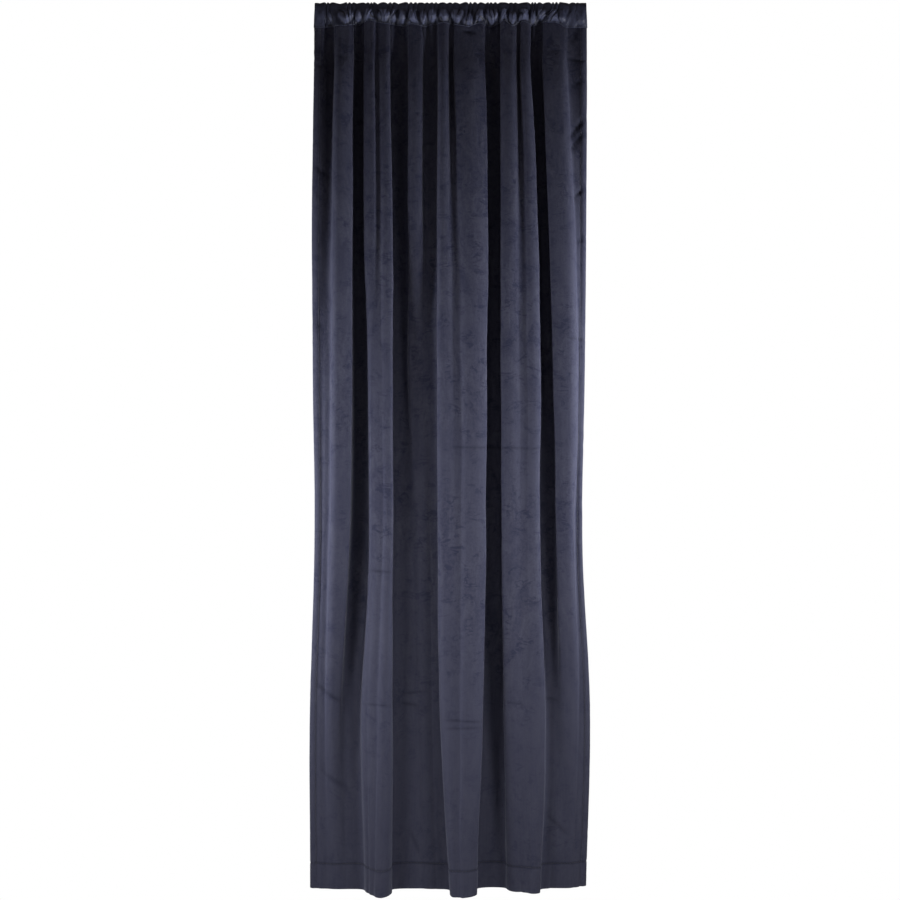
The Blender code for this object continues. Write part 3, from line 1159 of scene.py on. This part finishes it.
@dataclass
class VelvetPanel:
    """The hanging cloth, from the pocket's seam to the bottom edge, with its hems."""

    plan: FoldPlan
    hem_height: float = 0.073
    side_hem: float = 0.022
    thickness: float = 0.002
    hem_thickness: float = 0.0034
    edge_thinning: tuple[float, float] = (0.85, 0.45)
    side_thinning: float = 0.6
    fold_over: float = 0.001
    sewn_in: float = 0.0030
    drawn_reach: float = 0.05
    crease_share: float = 1.6
    crease_ends: float = 0.25
    full_crease: float = 0.0048
    # How much shade is painted along the bottom hem's stitch line.
    painted_hem_shade: float = 0.45
    column_step: float = 0.0050
    least_columns: int = 4
    edge_crowding: float = 0.72
    top_row_step: float = 0.0060
    top_rows_end: float = -0.21
    plain_rows: int = 62
    plain_rows_in: tuple[float, float] = (0.008, 0.012)
    slanting_row_step: float = 0.008
    crease_row_steps: tuple[float, ...] = (-0.0075, -0.0035, 0.0, 0.0035, 0.0075)
    hem_row_steps: tuple[float, ...] = (0.006, 0.0022, 0.0, -0.0022, -0.006)
    hem_rows: int = 4
    hem_rows_in: tuple[float, float] = (0.014, 0.008)
    edge_row_steps: tuple[float, ...] = (0.003, 0.0009, 0.0)
    least_row_step: float = 0.0018
    edge_zone: float = 0.009
    swell: Ripple = Ripple(0.0016, 11.0, 2.6, 5.0)
    swell_from: float = -0.12
    swell_lead: float = 0.25
    wrinkle: Ripple = Ripple(0.0010, 24.0, 60.0, 7.0)
    wrinkled_parts: Ripple = Ripple(1.0, 5.0, 4.0, 6.0)
    plain_wrinkles: float = 0.35
    added_wrinkles: float = 1.6
    seam_groove: float = 0.0011
    seam_groove_width: float = 0.0028
    side_groove_share: float = 0.4
    pucker: Ripple = Ripple(0.0011, 95.0, 20.0, 9.0)
    pucker_reach: float = 0.022
    side_pucker: Ripple = Ripple(0.0012, 30.0, 75.0, 10.0)
    side_pucker_reach: float = 0.012
    grid: ClothGrid = field(init=False)

    @property
    def hem_line(self) -> float:
        """The height of the bottom hem's stitches."""
        return self.hem_height - self.plan.drop

    def from_side(self, u: np.ndarray) -> np.ndarray:
        """How far places across the flat cloth are from the nearer side edge."""
        return np.minimum(u, self.plan.cloth_width - u)

    def anchors(self, height: float) -> np.ndarray:
        """The places of the edges, side seams and inner folds' edges on the line at one height."""
        hem = self.side_hem / self.plan.cloth_width
        _, _, edges = self.plan.outline(height)
        return np.concatenate([[0.0, hem], edges, [1.0 - hem, 1.0]])

    def column_counts(self, heights: np.ndarray) -> list[int]:
        """How many columns of faces to run between each two anchors, from their mean distance."""
        spans = np.mean([np.diff(self.anchors(height)) for height in heights[::9]], axis=0)
        steps = spans * self.plan.cloth_width / self.column_step
        return [max(self.least_columns, round(step)) for step in steps]

    def column_places(self, anchors: np.ndarray, counts: list[int]) -> np.ndarray:
        """The columns' places along the line, crowded together at the anchors.

        Args:
            anchors: The anchors' places at this height.
            counts: How many columns of faces run between each two of them.

        Returns:
            The places, from 0 to 1.
        """
        places = [np.zeros(1)]
        for start, end, count in zip(anchors[:-1], anchors[1:], counts):
            even = np.linspace(0.0, 1.0, count + 1)[1:]
            crowded = even + self.edge_crowding * (smooth(even) - even)
            places.append(start + (end - start) * crowded)
        return np.concatenate(places)

    def row_heights(self) -> np.ndarray:
        """The rows' heights from the top down, close together at the gathers, creases and hem."""
        top, bottom = self.sewn_in - self.plan.pocket_height, -self.plan.drop
        rows = list(np.arange(top, self.top_rows_end, -self.top_row_step))
        below, above = self.plain_rows_in
        rows += list(np.linspace(rows[-1] - below, self.hem_line + above, self.plain_rows))
        for crease in CREASES:
            upper, lower = (-down * CENTIMETRE for down in (crease.down, crease.end_down))
            if upper > self.top_rows_end:
                continue
            if abs(upper - lower) < CENTIMETRE:
                rows += [0.5 * (upper + lower) + step for step in self.crease_row_steps]
            else:
                rows += list(np.arange(upper, lower, -self.slanting_row_step))
        rows += [self.hem_line + step for step in self.hem_row_steps]
        below, above = self.hem_rows_in
        rows += list(np.linspace(self.hem_line - below, above + bottom, self.hem_rows))
        rows += [step + bottom for step in self.edge_row_steps]
        kept = [top]
        for row in sorted(set(rows), reverse=True):
            if kept[-1] - row > self.least_row_step or row < self.edge_zone + bottom:
                kept.append(row)
        return np.array(kept)

    def lay_out(self) -> None:
        """Hangs the cloth in its folds, then adds its creases, swells, hem and seam grooves, and
        paints shade into its creases and along the hem's stitch line.
        """
        heights = self.row_heights()
        counts = self.column_counts(heights)
        places = np.array([self.column_places(self.anchors(h), counts) for h in heights])
        points = np.empty((*places.shape, 3))
        for row, height in enumerate(heights):
            points[row, :, :2] = self.plan.line(height, places[row])
            drawn_up = self.plan.seam_heights(points[row, :, 0]) + self.plan.pocket_height
            points[row, :, 2] = height + drawn_up * self.plan.below_seam(height, self.drawn_reach)
        u = places * self.plan.cloth_width
        v = np.broadcast_to(heights[:, None], u.shape)
        self.grid = ClothGrid(points, np.stack([u, v], axis=2))
        self.grid.pushed(self.unevenness(u, v))
        depths = self.crease_depths()
        # Painted shade: darkening in the creases, deeper creases darker, and along the hem's stitch
        # line.
        at_hem = self.painted_hem_shade * bell(v - self.hem_line, self.seam_groove_width)
        self.grid.creased = (depths / self.full_crease + at_hem).clip(0.0, 1.0)
        self.grid.pushed(-depths)
        self.grid.pushed(self.hem_relief(u, v))

    def unevenness(self, u: np.ndarray, v: np.ndarray) -> np.ndarray:
        """Soft swells down the folds and small cross wrinkles, from places on the flat cloth."""
        swells = self.swell.at(u, v) * smooth((self.swell_from - v) / self.swell_lead)
        broad = self.wrinkled_parts.at(u, v).clip(0.0)
        return swells + self.wrinkle.at(u, v) * (self.plain_wrinkles + self.added_wrinkles * broad)

    def crease_depths(self) -> np.ndarray:
        """How deep the creases press in at each point of the grid."""
        x, z = self.grid.points[:, :, 0], self.grid.points[:, :, 2]
        facing = (-self.grid.normals()[:, :, 1]).clip(0.0)
        total = np.zeros_like(x)
        for crease in CREASES:
            start = np.array([crease.x, -crease.down]) * CENTIMETRE
            end = np.array([crease.end_x, -crease.end_down]) * CENTIMETRE
            along = end - start
            share = ((x - start[0]) * along[0] + (z - start[1]) * along[1]) / (along @ along)
            inside = share.clip(0.0, 1.0)
            away = np.hypot(x - start[0] - inside * along[0], z - start[1] - inside * along[1])
            middle = np.sqrt((4.0 * inside * (1.0 - inside)).clip(0.0))
            taper = self.crease_ends + (1.0 - self.crease_ends) * middle
            profile = bell(away, crease.width * MILLIMETRE)
            total += crease.depth * MILLIMETRE * profile * taper * facing
        return self.crease_share * total

    def hem_relief(self, u: np.ndarray, v: np.ndarray) -> np.ndarray:
        """The grooves that the stitches pull in, and the hems' small puckers."""
        from_hem, from_side = v - self.hem_line, self.from_side(u) - self.side_hem
        grooves = bell(from_hem, self.seam_groove_width)
        grooves += self.side_groove_share * bell(from_side, self.seam_groove_width)
        puckers = self.pucker.at(u, v) * bell(from_hem, self.pucker_reach)
        side_puckers = self.side_pucker.at(u, v) * bell(from_side, self.side_pucker_reach)
        return puckers + side_puckers - self.seam_groove * grooves

    def hem_share(self) -> np.ndarray:
        """1 where the cloth is turned over and 0 where it is single, at each grid point."""
        u, v = self.grid.cloth[:, :, 0], self.grid.cloth[:, :, 1]
        at_side = self.from_side(u) < self.side_hem - self.fold_over
        return np.maximum(v < self.hem_line - self.fold_over, at_side).astype(float)

    def seams(self, side: SeamSide) -> list[SeamRow]:
        """The panel's rows of stitches on one of its sides: the bottom hem's and the side hems'."""
        cloth = 0.5 * (self.thickness + self.hem_thickness)
        heights, u = self.grid.cloth[:, 0, 1], self.grid.cloth[0, :, 0]
        rows = [SeamRow(int(np.argmin(np.abs(heights - self.hem_line))), True, side, cloth)]
        for place in (self.side_hem, self.plan.cloth_width - self.side_hem):
            column = int(np.argmin(np.abs(u - place)))
            rows.append(SeamRow(column, False, side, cloth, end=0.002))
        return rows

    def thickness_shares(self) -> np.ndarray:
        """Each grid point's thickness as a share of the hem's, rounded off at the outer edges."""
        single = self.thickness / self.hem_thickness
        shares = single + (1.0 - single) * self.hem_share()
        shares[-2:] *= np.array(self.edge_thinning)[:, None]
        shares[:, [0, -1]] *= self.side_thinning
        return shares

    def build(self, finishes: list[bpy.types.Material]) -> bpy.types.Object:
        """Makes the panel as a closed sheet with its pile in front and its weave behind.

        Args:
            finishes: The pile's and the woven back's materials.

        Returns:
            The finished object.
        """
        self.lay_out()
        mesh = self.grid.mesh("velvet_panel")
        panel = new_object("velvet_panel", mesh)
        for finish in finishes:
            mesh.materials.append(finish)
        self.thicken(panel)
        self.show_hems_behind(mesh)
        return panel

    def thicken(self, panel: bpy.types.Object) -> None:
        """Gives the sheet its wall, with the woven side behind, and applies it."""
        weights = panel.vertex_groups.new(name="thickness")
        for index, share in enumerate(self.thickness_shares().ravel()):
            weights.add([index], float(share), "REPLACE")
        wall = panel.modifiers.new("wall", "SOLIDIFY")
        wall.thickness = self.hem_thickness
        wall.vertex_group = "thickness"
        wall.offset = 0.0
        wall.material_offset = ClothFace.WOVEN_BACK.value
        wall.material_offset_rim = ClothFace.PILE.value
        deselect_everything()
        bpy.context.view_layer.objects.active = panel
        panel.select_set(True)
        bpy.ops.object.modifier_apply(modifier=wall.name)
        panel.vertex_groups.clear()
        deselect_everything()

    def show_hems_behind(self, mesh: bpy.types.Mesh) -> None:
        """Turns the back's hems pile side out, since the cloth is folded over there."""
        uv = mesh.uv_layers["cloth"].data
        for face in mesh.polygons:
            if face.material_index != ClothFace.WOVEN_BACK.value:
                continue
            u, v = np.mean([uv[loop].uv for loop in face.loop_indices], axis=0)
            if v < self.hem_line or self.from_side(u) < self.side_hem:
                face.material_index = ClothFace.PILE.value


@dataclass
class RodPocket:
    """The gathered heading: a channel of cloth, open right through for its rod."""

    plan: FoldPlan
    flat_height: float = 0.16
    radius: float = 0.0195
    front_share: float = 0.72
    ridge: float = 0.0066
    highest_ridge: float = 0.4
    pleat: float = 0.0046
    pleat_fade: float = 0.6
    crumple: float = 0.0026
    crumple_mean: float = 0.5
    crumple_depth: float = 2.2
    crumples: tuple[Crumple, Crumple] = (
        Crumple(1.0, 70.0, 9.0, 24.0, 21.0),
        Crumple(0.25, 150.0, -20.0, 60.0, 22.0),
    )
    wall: float = 0.0018
    seam_half_depth: float = 0.0030
    shoulder: float = math.radians(35.0)
    front_shoulder: float = math.radians(4.0)
    column_step: float = 0.0021
    over_rows: int = 15
    front_rows: int = 27
    back_rows: int = 10
    hang: float = 1.7
    bunching: float = 0.0022
    bunch_waves: tuple[Wave, Wave] = (Wave(1.0, 74.0), Wave(0.4, 191.0))
    bunch_lead: float = 0.05
    ridge_count: float = 45.0
    ridge_waves: tuple[Wave, Wave] = (Wave(0.34, 29.0, 0.7), Wave(0.30, 83.0, 2.0))
    ridge_swell: Swell = Swell(0.70, Wave(0.30, 39.0, 1.3), 17.0)
    ridge_power: float = 0.8
    ridge_mean: float = 0.62
    ridge_leads: tuple[float, float] = (0.045, 0.06)
    slant: float = 1.1
    slant_waves: tuple[Wave, Wave] = (Wave(1.0, 44.0, 1.1), Wave(0.6, 97.0))
    pouch_share: float = 2.0
    pouch_reach: float = 1.3
    pouch_height: float = 0.040
    pouch_narrowing: float = 0.45
    pouch_foot: float = 0.24
    pouch_fade: tuple[float, float] = (0.30, 0.85)
    rim_power: float = 1.3
    side_power: float = 0.75
    # How far a pouch stands before no shade is painted below it, how much shade is painted in the
    # notches, and how much highlight on stretched pouches.
    open_pouch: float = 0.006
    painted_notch_shade: float = 0.85
    notch_fade: tuple[float, float] = (-0.12, 0.25)
    painted_pouch_highlight: float = 0.55
    leads: tuple[float, float, float, float] = (0.1, 0.15, 0.12, 0.3)
    grid: ClothGrid = field(init=False)

    def ridges(self, places: np.ndarray, down: np.ndarray | float = 0.0) -> np.ndarray:
        """How far the small gathers stand out: rounded bumps of uneven width with sharp notches.

        Args:
            places: The places across the cloth, from 0 to 1.
            down: How far down the front, from 0 at the rod to 1 at the seam.

        Returns:
            The heights of the bumps, from about -0.6 to 0.4.
        """
        wavering = sum(wave.at(places) for wave in self.ridge_waves)
        leaning = self.slant * down * sum(wave.at(places) for wave in self.slant_waves)
        turned = math.pi * (self.ridge_count * places + wavering + leaning)
        bump = np.abs(np.sin(turned)) ** self.ridge_power
        flat_ends = between_ends(places, 0.0, 1.0, *self.ridge_leads)
        return (bump - self.ridge_mean) * self.ridge_swell.at(places) * flat_ends

    def seam_edges(self, places: np.ndarray) -> tuple[np.ndarray, np.ndarray]:
        """The lines that the pocket's back and front layers follow at the seam."""
        line = self.plan.line(-self.plan.pocket_height, places)
        along = np.gradient(line, axis=0)
        along /= np.linalg.norm(along, axis=1, keepdims=True)
        forward = np.stack([along[:, 1], -along[:, 0]], axis=1)
        return line - self.seam_half_depth * forward, line + self.seam_half_depth * forward

    def bulges(self, x: np.ndarray, z: np.ndarray) -> np.ndarray:
        """How far the slack pouches above the seam stand forward at each point of the front."""
        total = np.zeros_like(x)
        fade_from, fade = self.pouch_fade
        for pouch in POUCHES:
            reach = self.pouch_reach * pouch.half_width * MILLIMETRE
            across = np.abs(x - pouch.x * CENTIMETRE) / reach
            rim = (pouch.lift * across**self.rim_power - pouch.drop) * MILLIMETRE
            above = (z - rim) / self.pouch_height
            across /= 1.0 - self.pouch_narrowing * above.clip(0.0, 1.0)
            stands = (above / self.pouch_foot).clip(0.0, 1.0)
            stands *= 1.0 - smooth((above - fade_from) / fade)
            stands *= (1.0 - across).clip(0.0) ** self.side_power
            total = np.maximum(total, self.pouch_share * pouch.depth * MILLIMETRE * stands)
        return total

    def lay_out(self) -> None:
        """Runs the cloth up the back, over the rod and down the front to the seam again."""
        columns = round(self.plan.cloth_width / self.column_step) + 1
        places = np.linspace(0.0, 1.0, columns)
        back, front = self.seam_edges(places)
        rod_x = back[0, 0] + (back[-1, 0] - back[0, 0]) * places
        bunch = sum(wave.at(places) for wave in self.bunch_waves)
        held = between_ends(places, 0.0, 1.0, self.bunch_lead, self.bunch_lead)
        rod_x += self.bunching * bunch * held
        radius = self.radius + self.ridge * self.ridges(places)
        centre_z = -self.radius - self.highest_ridge * self.ridge
        angles = np.linspace(-self.shoulder, math.pi + self.front_shoulder, self.over_rows)
        over = [
            np.column_stack([rod_x, self.depth_of(radius, a), centre_z + radius * math.sin(a)])
            for a in angles
        ]
        low_back = np.column_stack([back, self.plan.seam_heights(back[:, 0])])
        low = np.column_stack([front, self.plan.seam_heights(front[:, 0])])
        rows = [low_back, *self.between(low_back, over[0], self.back_rows), *over]
        rows += [*self.between(over[-1], low, self.front_rows), low, low_back]
        points = np.array(rows)
        steps = np.linalg.norm(np.diff(points[:, columns // 2], axis=0), axis=1)
        along = np.concatenate([[0.0], np.cumsum(steps)])
        u, v = np.meshgrid(places * self.plan.cloth_width, along)
        self.grid = ClothGrid(points, np.stack([u, v], axis=2), closed_rows=True)
        self.shape_front(places)

    def depth_of(self, radius: np.ndarray, angle: float) -> np.ndarray:
        """How far back the cloth over the rod is at an angle, flatter in front than behind."""
        back = radius * math.cos(angle)
        return back if math.cos(angle) > 0.0 else self.front_share * back

    def between(self, start: np.ndarray, end: np.ndarray, count: int) -> list[np.ndarray]:
        """Rows of cloth between two others, hanging nearly straight from the upper one.

        Args:
            start: The first row, which isn't repeated.
            end: The last row, which isn't repeated.
            count: How many rows to make between them.

        Returns:
            The rows in order.
        """
        made = []
        for step in range(1, count + 1):
            share = step / (count + 1)
            eased = share if abs(start[0, 2]) > abs(end[0, 2]) else share**self.hang
            row = start + (end - start) * share
            row[:, 1] = start[:, 1] + (end[:, 1] - start[:, 1]) * eased
            made.append(row)
        return made

    def shape_front(self, places: np.ndarray) -> None:
        """Pushes the pouches out of the front, between the rod and the seam, and paints shade into
        its valleys and notches and a highlight on its stretched pouches.
        """
        first = 1 + self.back_rows + self.over_rows
        last = first + self.front_rows
        x = self.grid.points[first:last, :, 0]
        z = self.grid.points[first:last, :, 2]
        down = np.linspace(0.0, 1.0, self.front_rows)[:, None]
        pleat_lead, lead_in, lead_out, shade_lead = self.leads
        ridges = self.ridges(places[None, :], down)
        pleats = ridges * (1.0 - self.pleat_fade * down)
        folds = sum(crumple.at(x, z) for crumple in self.crumples)
        crumpled = self.crumple * (self.crumple_mean - self.crumple_depth * folds)
        relief = self.pleat * pleats * smooth(down / pleat_lead)
        relief += crumpled * between_ends(down, 0.0, 1.0, lead_in, lead_out)
        bulges = self.bulges(x, z)
        self.grid.points[first:last, :, 1] -= bulges + relief
        # Painted shade: dark in the low valleys between and below the pouches.
        low = (0.5 - bulges / self.open_pouch - pleats).clip(0.0, 1.0)
        notch_from, notch_lead = self.notch_fade
        # Painted shade: dark lines in the sharp notches between the gathers.
        notches = smooth((notch_from - ridges) / notch_lead)
        shade = np.maximum(low * smooth(down / shade_lead), self.painted_notch_shade * notches)
        # Painted highlight: paler where the pouches stand out towards the light.
        painted_highlight_share = self.painted_pouch_highlight * smooth(bulges / self.open_pouch) * (1.0 - notches)
        self.grid.creased = np.zeros(self.grid.points.shape[:2])
        self.grid.creased[first:last] = (shade - painted_highlight_share) * self.plan.gathered(x)

    def seam(self, side: SeamSide) -> SeamRow:
        """The row of stitches just above the pocket's lower edge, on one of its sides."""
        row = len(self.grid.points) - 3 if side is SeamSide.FRONT else 1
        return SeamRow(row, True, SeamSide.FRONT, 0.0)

    def build(self, finish: bpy.types.Material) -> bpy.types.Object:
        """Makes the pocket as a tube of cloth, open at both ends.

        Args:
            finish: The heading's material.

        Returns:
            The finished object.
        """
        self.lay_out()
        mesh = self.grid.mesh("gathered_heading")
        mesh.materials.append(finish)
        pocket = new_object("gathered_heading", mesh)
        wall = pocket.modifiers.new("wall", "SOLIDIFY")
        wall.thickness = self.wall
        wall.offset = -1.0
        return pocket


@dataclass(frozen=True)
class StitchRows:
    """Machine stitches along the pocket's seam, the bottom hem and both side hems."""

    pitch: float = 0.0042
    length: float = 0.0034
    thread: float = 0.0008
    narrow_end: float = 0.55
    dip: float = 0.0005
    lift: float = 0.0001
    look_ahead: float = 0.001

    def bead(self) -> tuple[np.ndarray, np.ndarray]:
        """Models one stitch as a short plump length of thread that narrows where it dives in.

        Returns:
            Its corners, along X with its outward side up Z, and its four-cornered faces.
        """
        deselect_everything()
        bpy.ops.mesh.primitive_cube_add(size=1.0)
        stitch = bpy.context.active_object
        stitch.scale = (self.length, self.thread, self.thread)
        bpy.ops.object.transform_apply(location=False, rotation=False, scale=True)
        bpy.ops.object.mode_set(mode="EDIT")
        bpy.ops.mesh.select_all(action="SELECT")
        bpy.ops.mesh.subdivide(number_cuts=1, smoothness=1.0)
        bpy.ops.object.mode_set(mode="OBJECT")
        mesh = stitch.data
        corners = np.array([vertex.co for vertex in mesh.vertices])
        faces = np.array([list(face.vertices) for face in mesh.polygons])
        bpy.data.objects.remove(stitch)
        bpy.data.meshes.remove(mesh)
        dive = 1.0 - (2.0 * np.abs(corners[:, 0]) / self.length).clip(0.0, 1.0) ** 2
        corners[:, 1:] *= (self.narrow_end + (1.0 - self.narrow_end) * dive)[:, None]
        corners[:, 2] += self.dip * (dive - 1.0)
        return corners, faces

    def frames(self, grid: ClothGrid, row: SeamRow) -> np.ndarray:
        """Where the stitches of one seam lie on their sheet, evenly pitched.

        Args:
            grid: The sheet.
            row: The seam's row of stitches.

        Returns:
            An array of frames, each with its along, sideways and outward directions and its place
            as columns.
        """
        line, facing = (
            values[row.index] if row.across else values[:, row.index]
            for values in (grid.points, grid.normals())
        )
        lengths = np.linalg.norm(np.diff(line, axis=0), axis=1)
        reached = np.concatenate([[0.0], np.cumsum(lengths)])
        places = np.arange(row.start, reached[-1] - row.end, self.pitch)
        centre = read_along(line, reached, places)
        outward = read_along(facing, reached, places) * row.side.value
        outward /= np.linalg.norm(outward, axis=1, keepdims=True)
        along = read_along(line, reached, places + self.look_ahead) - centre
        along -= outward * np.sum(along * outward, axis=1, keepdims=True)
        along /= np.linalg.norm(along, axis=1, keepdims=True)
        centre += outward * (0.5 * row.cloth + self.lift)
        return np.stack([along, np.cross(outward, along), outward, centre], axis=2)

    def build(
        self, name: str, rows: list[tuple[ClothGrid, SeamRow]], finish: bpy.types.Material
    ) -> bpy.types.Object:
        """Sews copies of one stitch along several seams, as one piece.

        Args:
            name: The piece's name.
            rows: Each sheet with a row of stitches on it.
            finish: The thread's material.

        Returns:
            The finished object.
        """
        corners, faces = self.bead()
        local = np.column_stack([corners, np.ones(len(corners))])
        frames = np.concatenate([self.frames(grid, row) for grid, row in rows])
        places = np.einsum("nij,kj->nki", frames, local).reshape(-1, 3)
        shifts = len(corners) * np.arange(len(frames))
        rings = (faces[None, :, :] + shifts[:, None, None]).reshape(-1, faces.shape[1])
        mesh = bpy.data.meshes.new(name)
        mesh.from_pydata(places.tolist(), [], rings.tolist())
        mesh.shade_smooth()
        mesh.materials.append(finish)
        return new_object(name, mesh)


@dataclass(frozen=True)
class Studio:
    """A white studio: a pale floor, soft lights from the sides and in front, and the camera."""

    camera_distance: float = 4.2
    camera_height: float = -1.2584
    lens: float = 59.8
    sensor: float = 36.0
    floor_height: float = -2.52
    floor_size: float = 30.0
    floor_colour: tuple[float, float, float, float] = (0.8, 0.8, 0.8, 1.0)
    left_height: float = -1.28
    right_height: float = -1.06
    fill_height: float = -1.95
    middle_height: float = -1.75
    high_height: float = -0.15
    side_spread: float = math.radians(96.0)
    fill_spread: float = math.radians(88.0)
    light_width: float = 0.6
    light_length: float = 1.0
    side_place: tuple[float, float] = (1.5, -0.35)
    fill_place: tuple[float, float] = (1.35, -1.6)
    back_place: tuple[float, float] = (0.0, 2.4)
    left_power: float = 11.2
    right_power: float = 14.2
    back_power: float = 28.0
    fill_power: float = 4.6
    middle_power: float = 1.1
    high_power: float = 0.15
    side_colour: tuple[float, float, float] = (0.97, 0.98, 1.0)
    fill_colour: tuple[float, float, float] = (1.0, 0.98, 0.89)
    air_colour: tuple[float, float, float, float] = (1.0, 0.86, 0.78, 1.0)
    air_strength: float = 0.08

    def set_up(self) -> None:
        """Places the camera, lights, floor and background."""
        self.place_camera()
        x, y = self.side_place
        for name, place, power in (
            ("left_softbox", (-x, y, self.left_height), self.left_power),
            ("right_softbox", (x, y, self.right_height), self.right_power),
        ):
            self.add_light(name, place, power, self.side_spread, self.side_colour)
        x, y = self.fill_place
        for name, place, power in (
            ("low_left_softbox", (-x, y, self.fill_height), self.fill_power),
            ("low_right_softbox", (x, y, self.fill_height), self.fill_power),
            ("middle_softbox", (0.0, y, self.middle_height), self.middle_power),
            ("high_softbox", (0.0, y, self.high_height), self.high_power),
        ):
            self.add_light(name, place, power, self.fill_spread, self.fill_colour)
        place = (*self.back_place, self.left_height)
        self.add_light("back_softbox", place, self.back_power, self.side_spread, self.fill_colour)
        self.lay_floor()
        self.white_background()
        bpy.context.scene.view_settings.view_transform = "Standard"

    def place_camera(self) -> None:
        """Looks straight at the curtain's middle from the front."""
        data = bpy.data.cameras.new("camera")
        data.lens = self.lens
        data.sensor_width = self.sensor
        camera = new_object("camera", data)
        camera.location = (0.0, -self.camera_distance, self.camera_height)
        camera.rotation_euler = (math.radians(90.0), 0.0, 0.0)
        bpy.context.scene.camera = camera

    def add_light(
        self,
        name: str,
        place: tuple[float, float, float],
        power: float,
        spread: float,
        colour: tuple[float, float, float],
    ) -> None:
        """Adds a soft light that is turned level to the curtain's middle.

        Args:
            name: The light's name.
            place: Its place, in metres.
            power: Its power, in watts.
            spread: The angle that its light fans out over, in radians.
            colour: The colour of its light.
        """
        data = bpy.data.lights.new(name, "AREA")
        data.color = colour
        data.shape = "RECTANGLE"
        data.size, data.size_y = self.light_width, self.light_length
        data.energy = power
        data.spread = spread
        light = new_object(name, data)
        light.location = place
        aim = Vector((0.0, 0.0, place[2])) - Vector(place)
        light.rotation_euler = aim.to_track_quat("-Z", "Y").to_euler()

    def seen_white(
        self, canvas: NodeCanvas, kind: str, other: bpy.types.NodeSocket
    ) -> bpy.types.NodeSocket:
        """Mixes a white that only the camera sees with the shader that all other rays see.

        Args:
            canvas: The canvas to draw on.
            kind: The white shader's node type.
            other: The other shader's output.

        Returns:
            The mix's output.
        """
        white = canvas.add(kind, Color=(1.0, 1.0, 1.0, 1.0), Strength=1.0).outputs[0]
        seen = canvas.add("ShaderNodeLightPath").outputs["Is Camera Ray"]
        return canvas.add("ShaderNodeMixShader", in0=seen, in1=other, in2=white).outputs[0]

    def lay_floor(self) -> None:
        """Lays the pale floor, pure white to the camera as in a cut-out photograph."""
        deselect_everything()
        bpy.ops.mesh.primitive_plane_add(size=self.floor_size, location=(0, 0, self.floor_height))
        floor = bpy.context.active_object
        floor.name = "studio_floor"
        material, canvas, shader = new_material("pale_floor")
        canvas.fill(shader, Base_Color=self.floor_colour)
        mix = self.seen_white(canvas, "ShaderNodeEmission", shader.outputs[0])
        canvas.fill(material.node_tree.nodes["Material Output"], Surface=mix)
        floor.data.materials.append(material)

    def white_background(self) -> None:
        """Makes the background white to the camera, and nearly dark to everything else."""
        world = bpy.data.worlds.new("studio_air")
        world.use_nodes = True
        world.node_tree.nodes.clear()
        canvas = NodeCanvas(world.node_tree)
        dim = canvas.add(
            "ShaderNodeBackground", Color=self.air_colour, Strength=self.air_strength
        )
        mix = self.seen_white(canvas, "ShaderNodeBackground", dim.outputs[0])
        canvas.add("ShaderNodeOutputWorld", Surface=mix)
        bpy.context.scene.world = world


def main() -> None:
    """Builds the curtain's pieces in order, dresses them and sets up the studio."""
    logging.basicConfig(level=logging.INFO, format="%(message)s")
    Studio().set_up()
    group = PileGroup()
    pile = PileFinish("velvet_pile_look").material(group)
    # The heading is the panel's velvet with paler colours painted in, standing in for the light its
    # pouches catch; its lower roughness and stronger gloss are its own smoother finish.
    painted_paler_pile = PileFinish(
        "velvet_heading_painted_paler",
        deep=(0.016, 0.020, 0.050),
        pale=(0.070, 0.079, 0.140),
        roughness=0.50,
        specular=0.35,
        crush=0.5,
        specks=0.2,
        bump=0.3,
    ).material(group)
    weave = WovenFinish().material()
    plan = FoldPlan()
    panel = VelvetPanel(plan)
    cloth = panel.build([pile, weave])
    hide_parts("curtain_panel")
    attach(cloth, "root")
    log.info("panel: %d faces", len(cloth.data.polygons))
    pocket = RodPocket(plan)
    heading = pocket.build(painted_paler_pile)
    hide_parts("heading_pocket")
    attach(heading, "root")
    log.info("heading: %d faces", len(heading.data.polygons))
    stitches = StitchRows()
    thread = ThreadFinish().material()
    for side in SeamSide:
        rows = [(panel.grid, row) for row in panel.seams(side)]
        rows.append((pocket.grid, pocket.seam(side)))
        name = f"{side.name.lower()}_stitches"
        sewn = stitches.build(name, rows, thread)
        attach(sewn, "root")
        log.info("%s: %d faces", name, len(sewn.data.polygons))


if __name__ == "__main__":
    main()
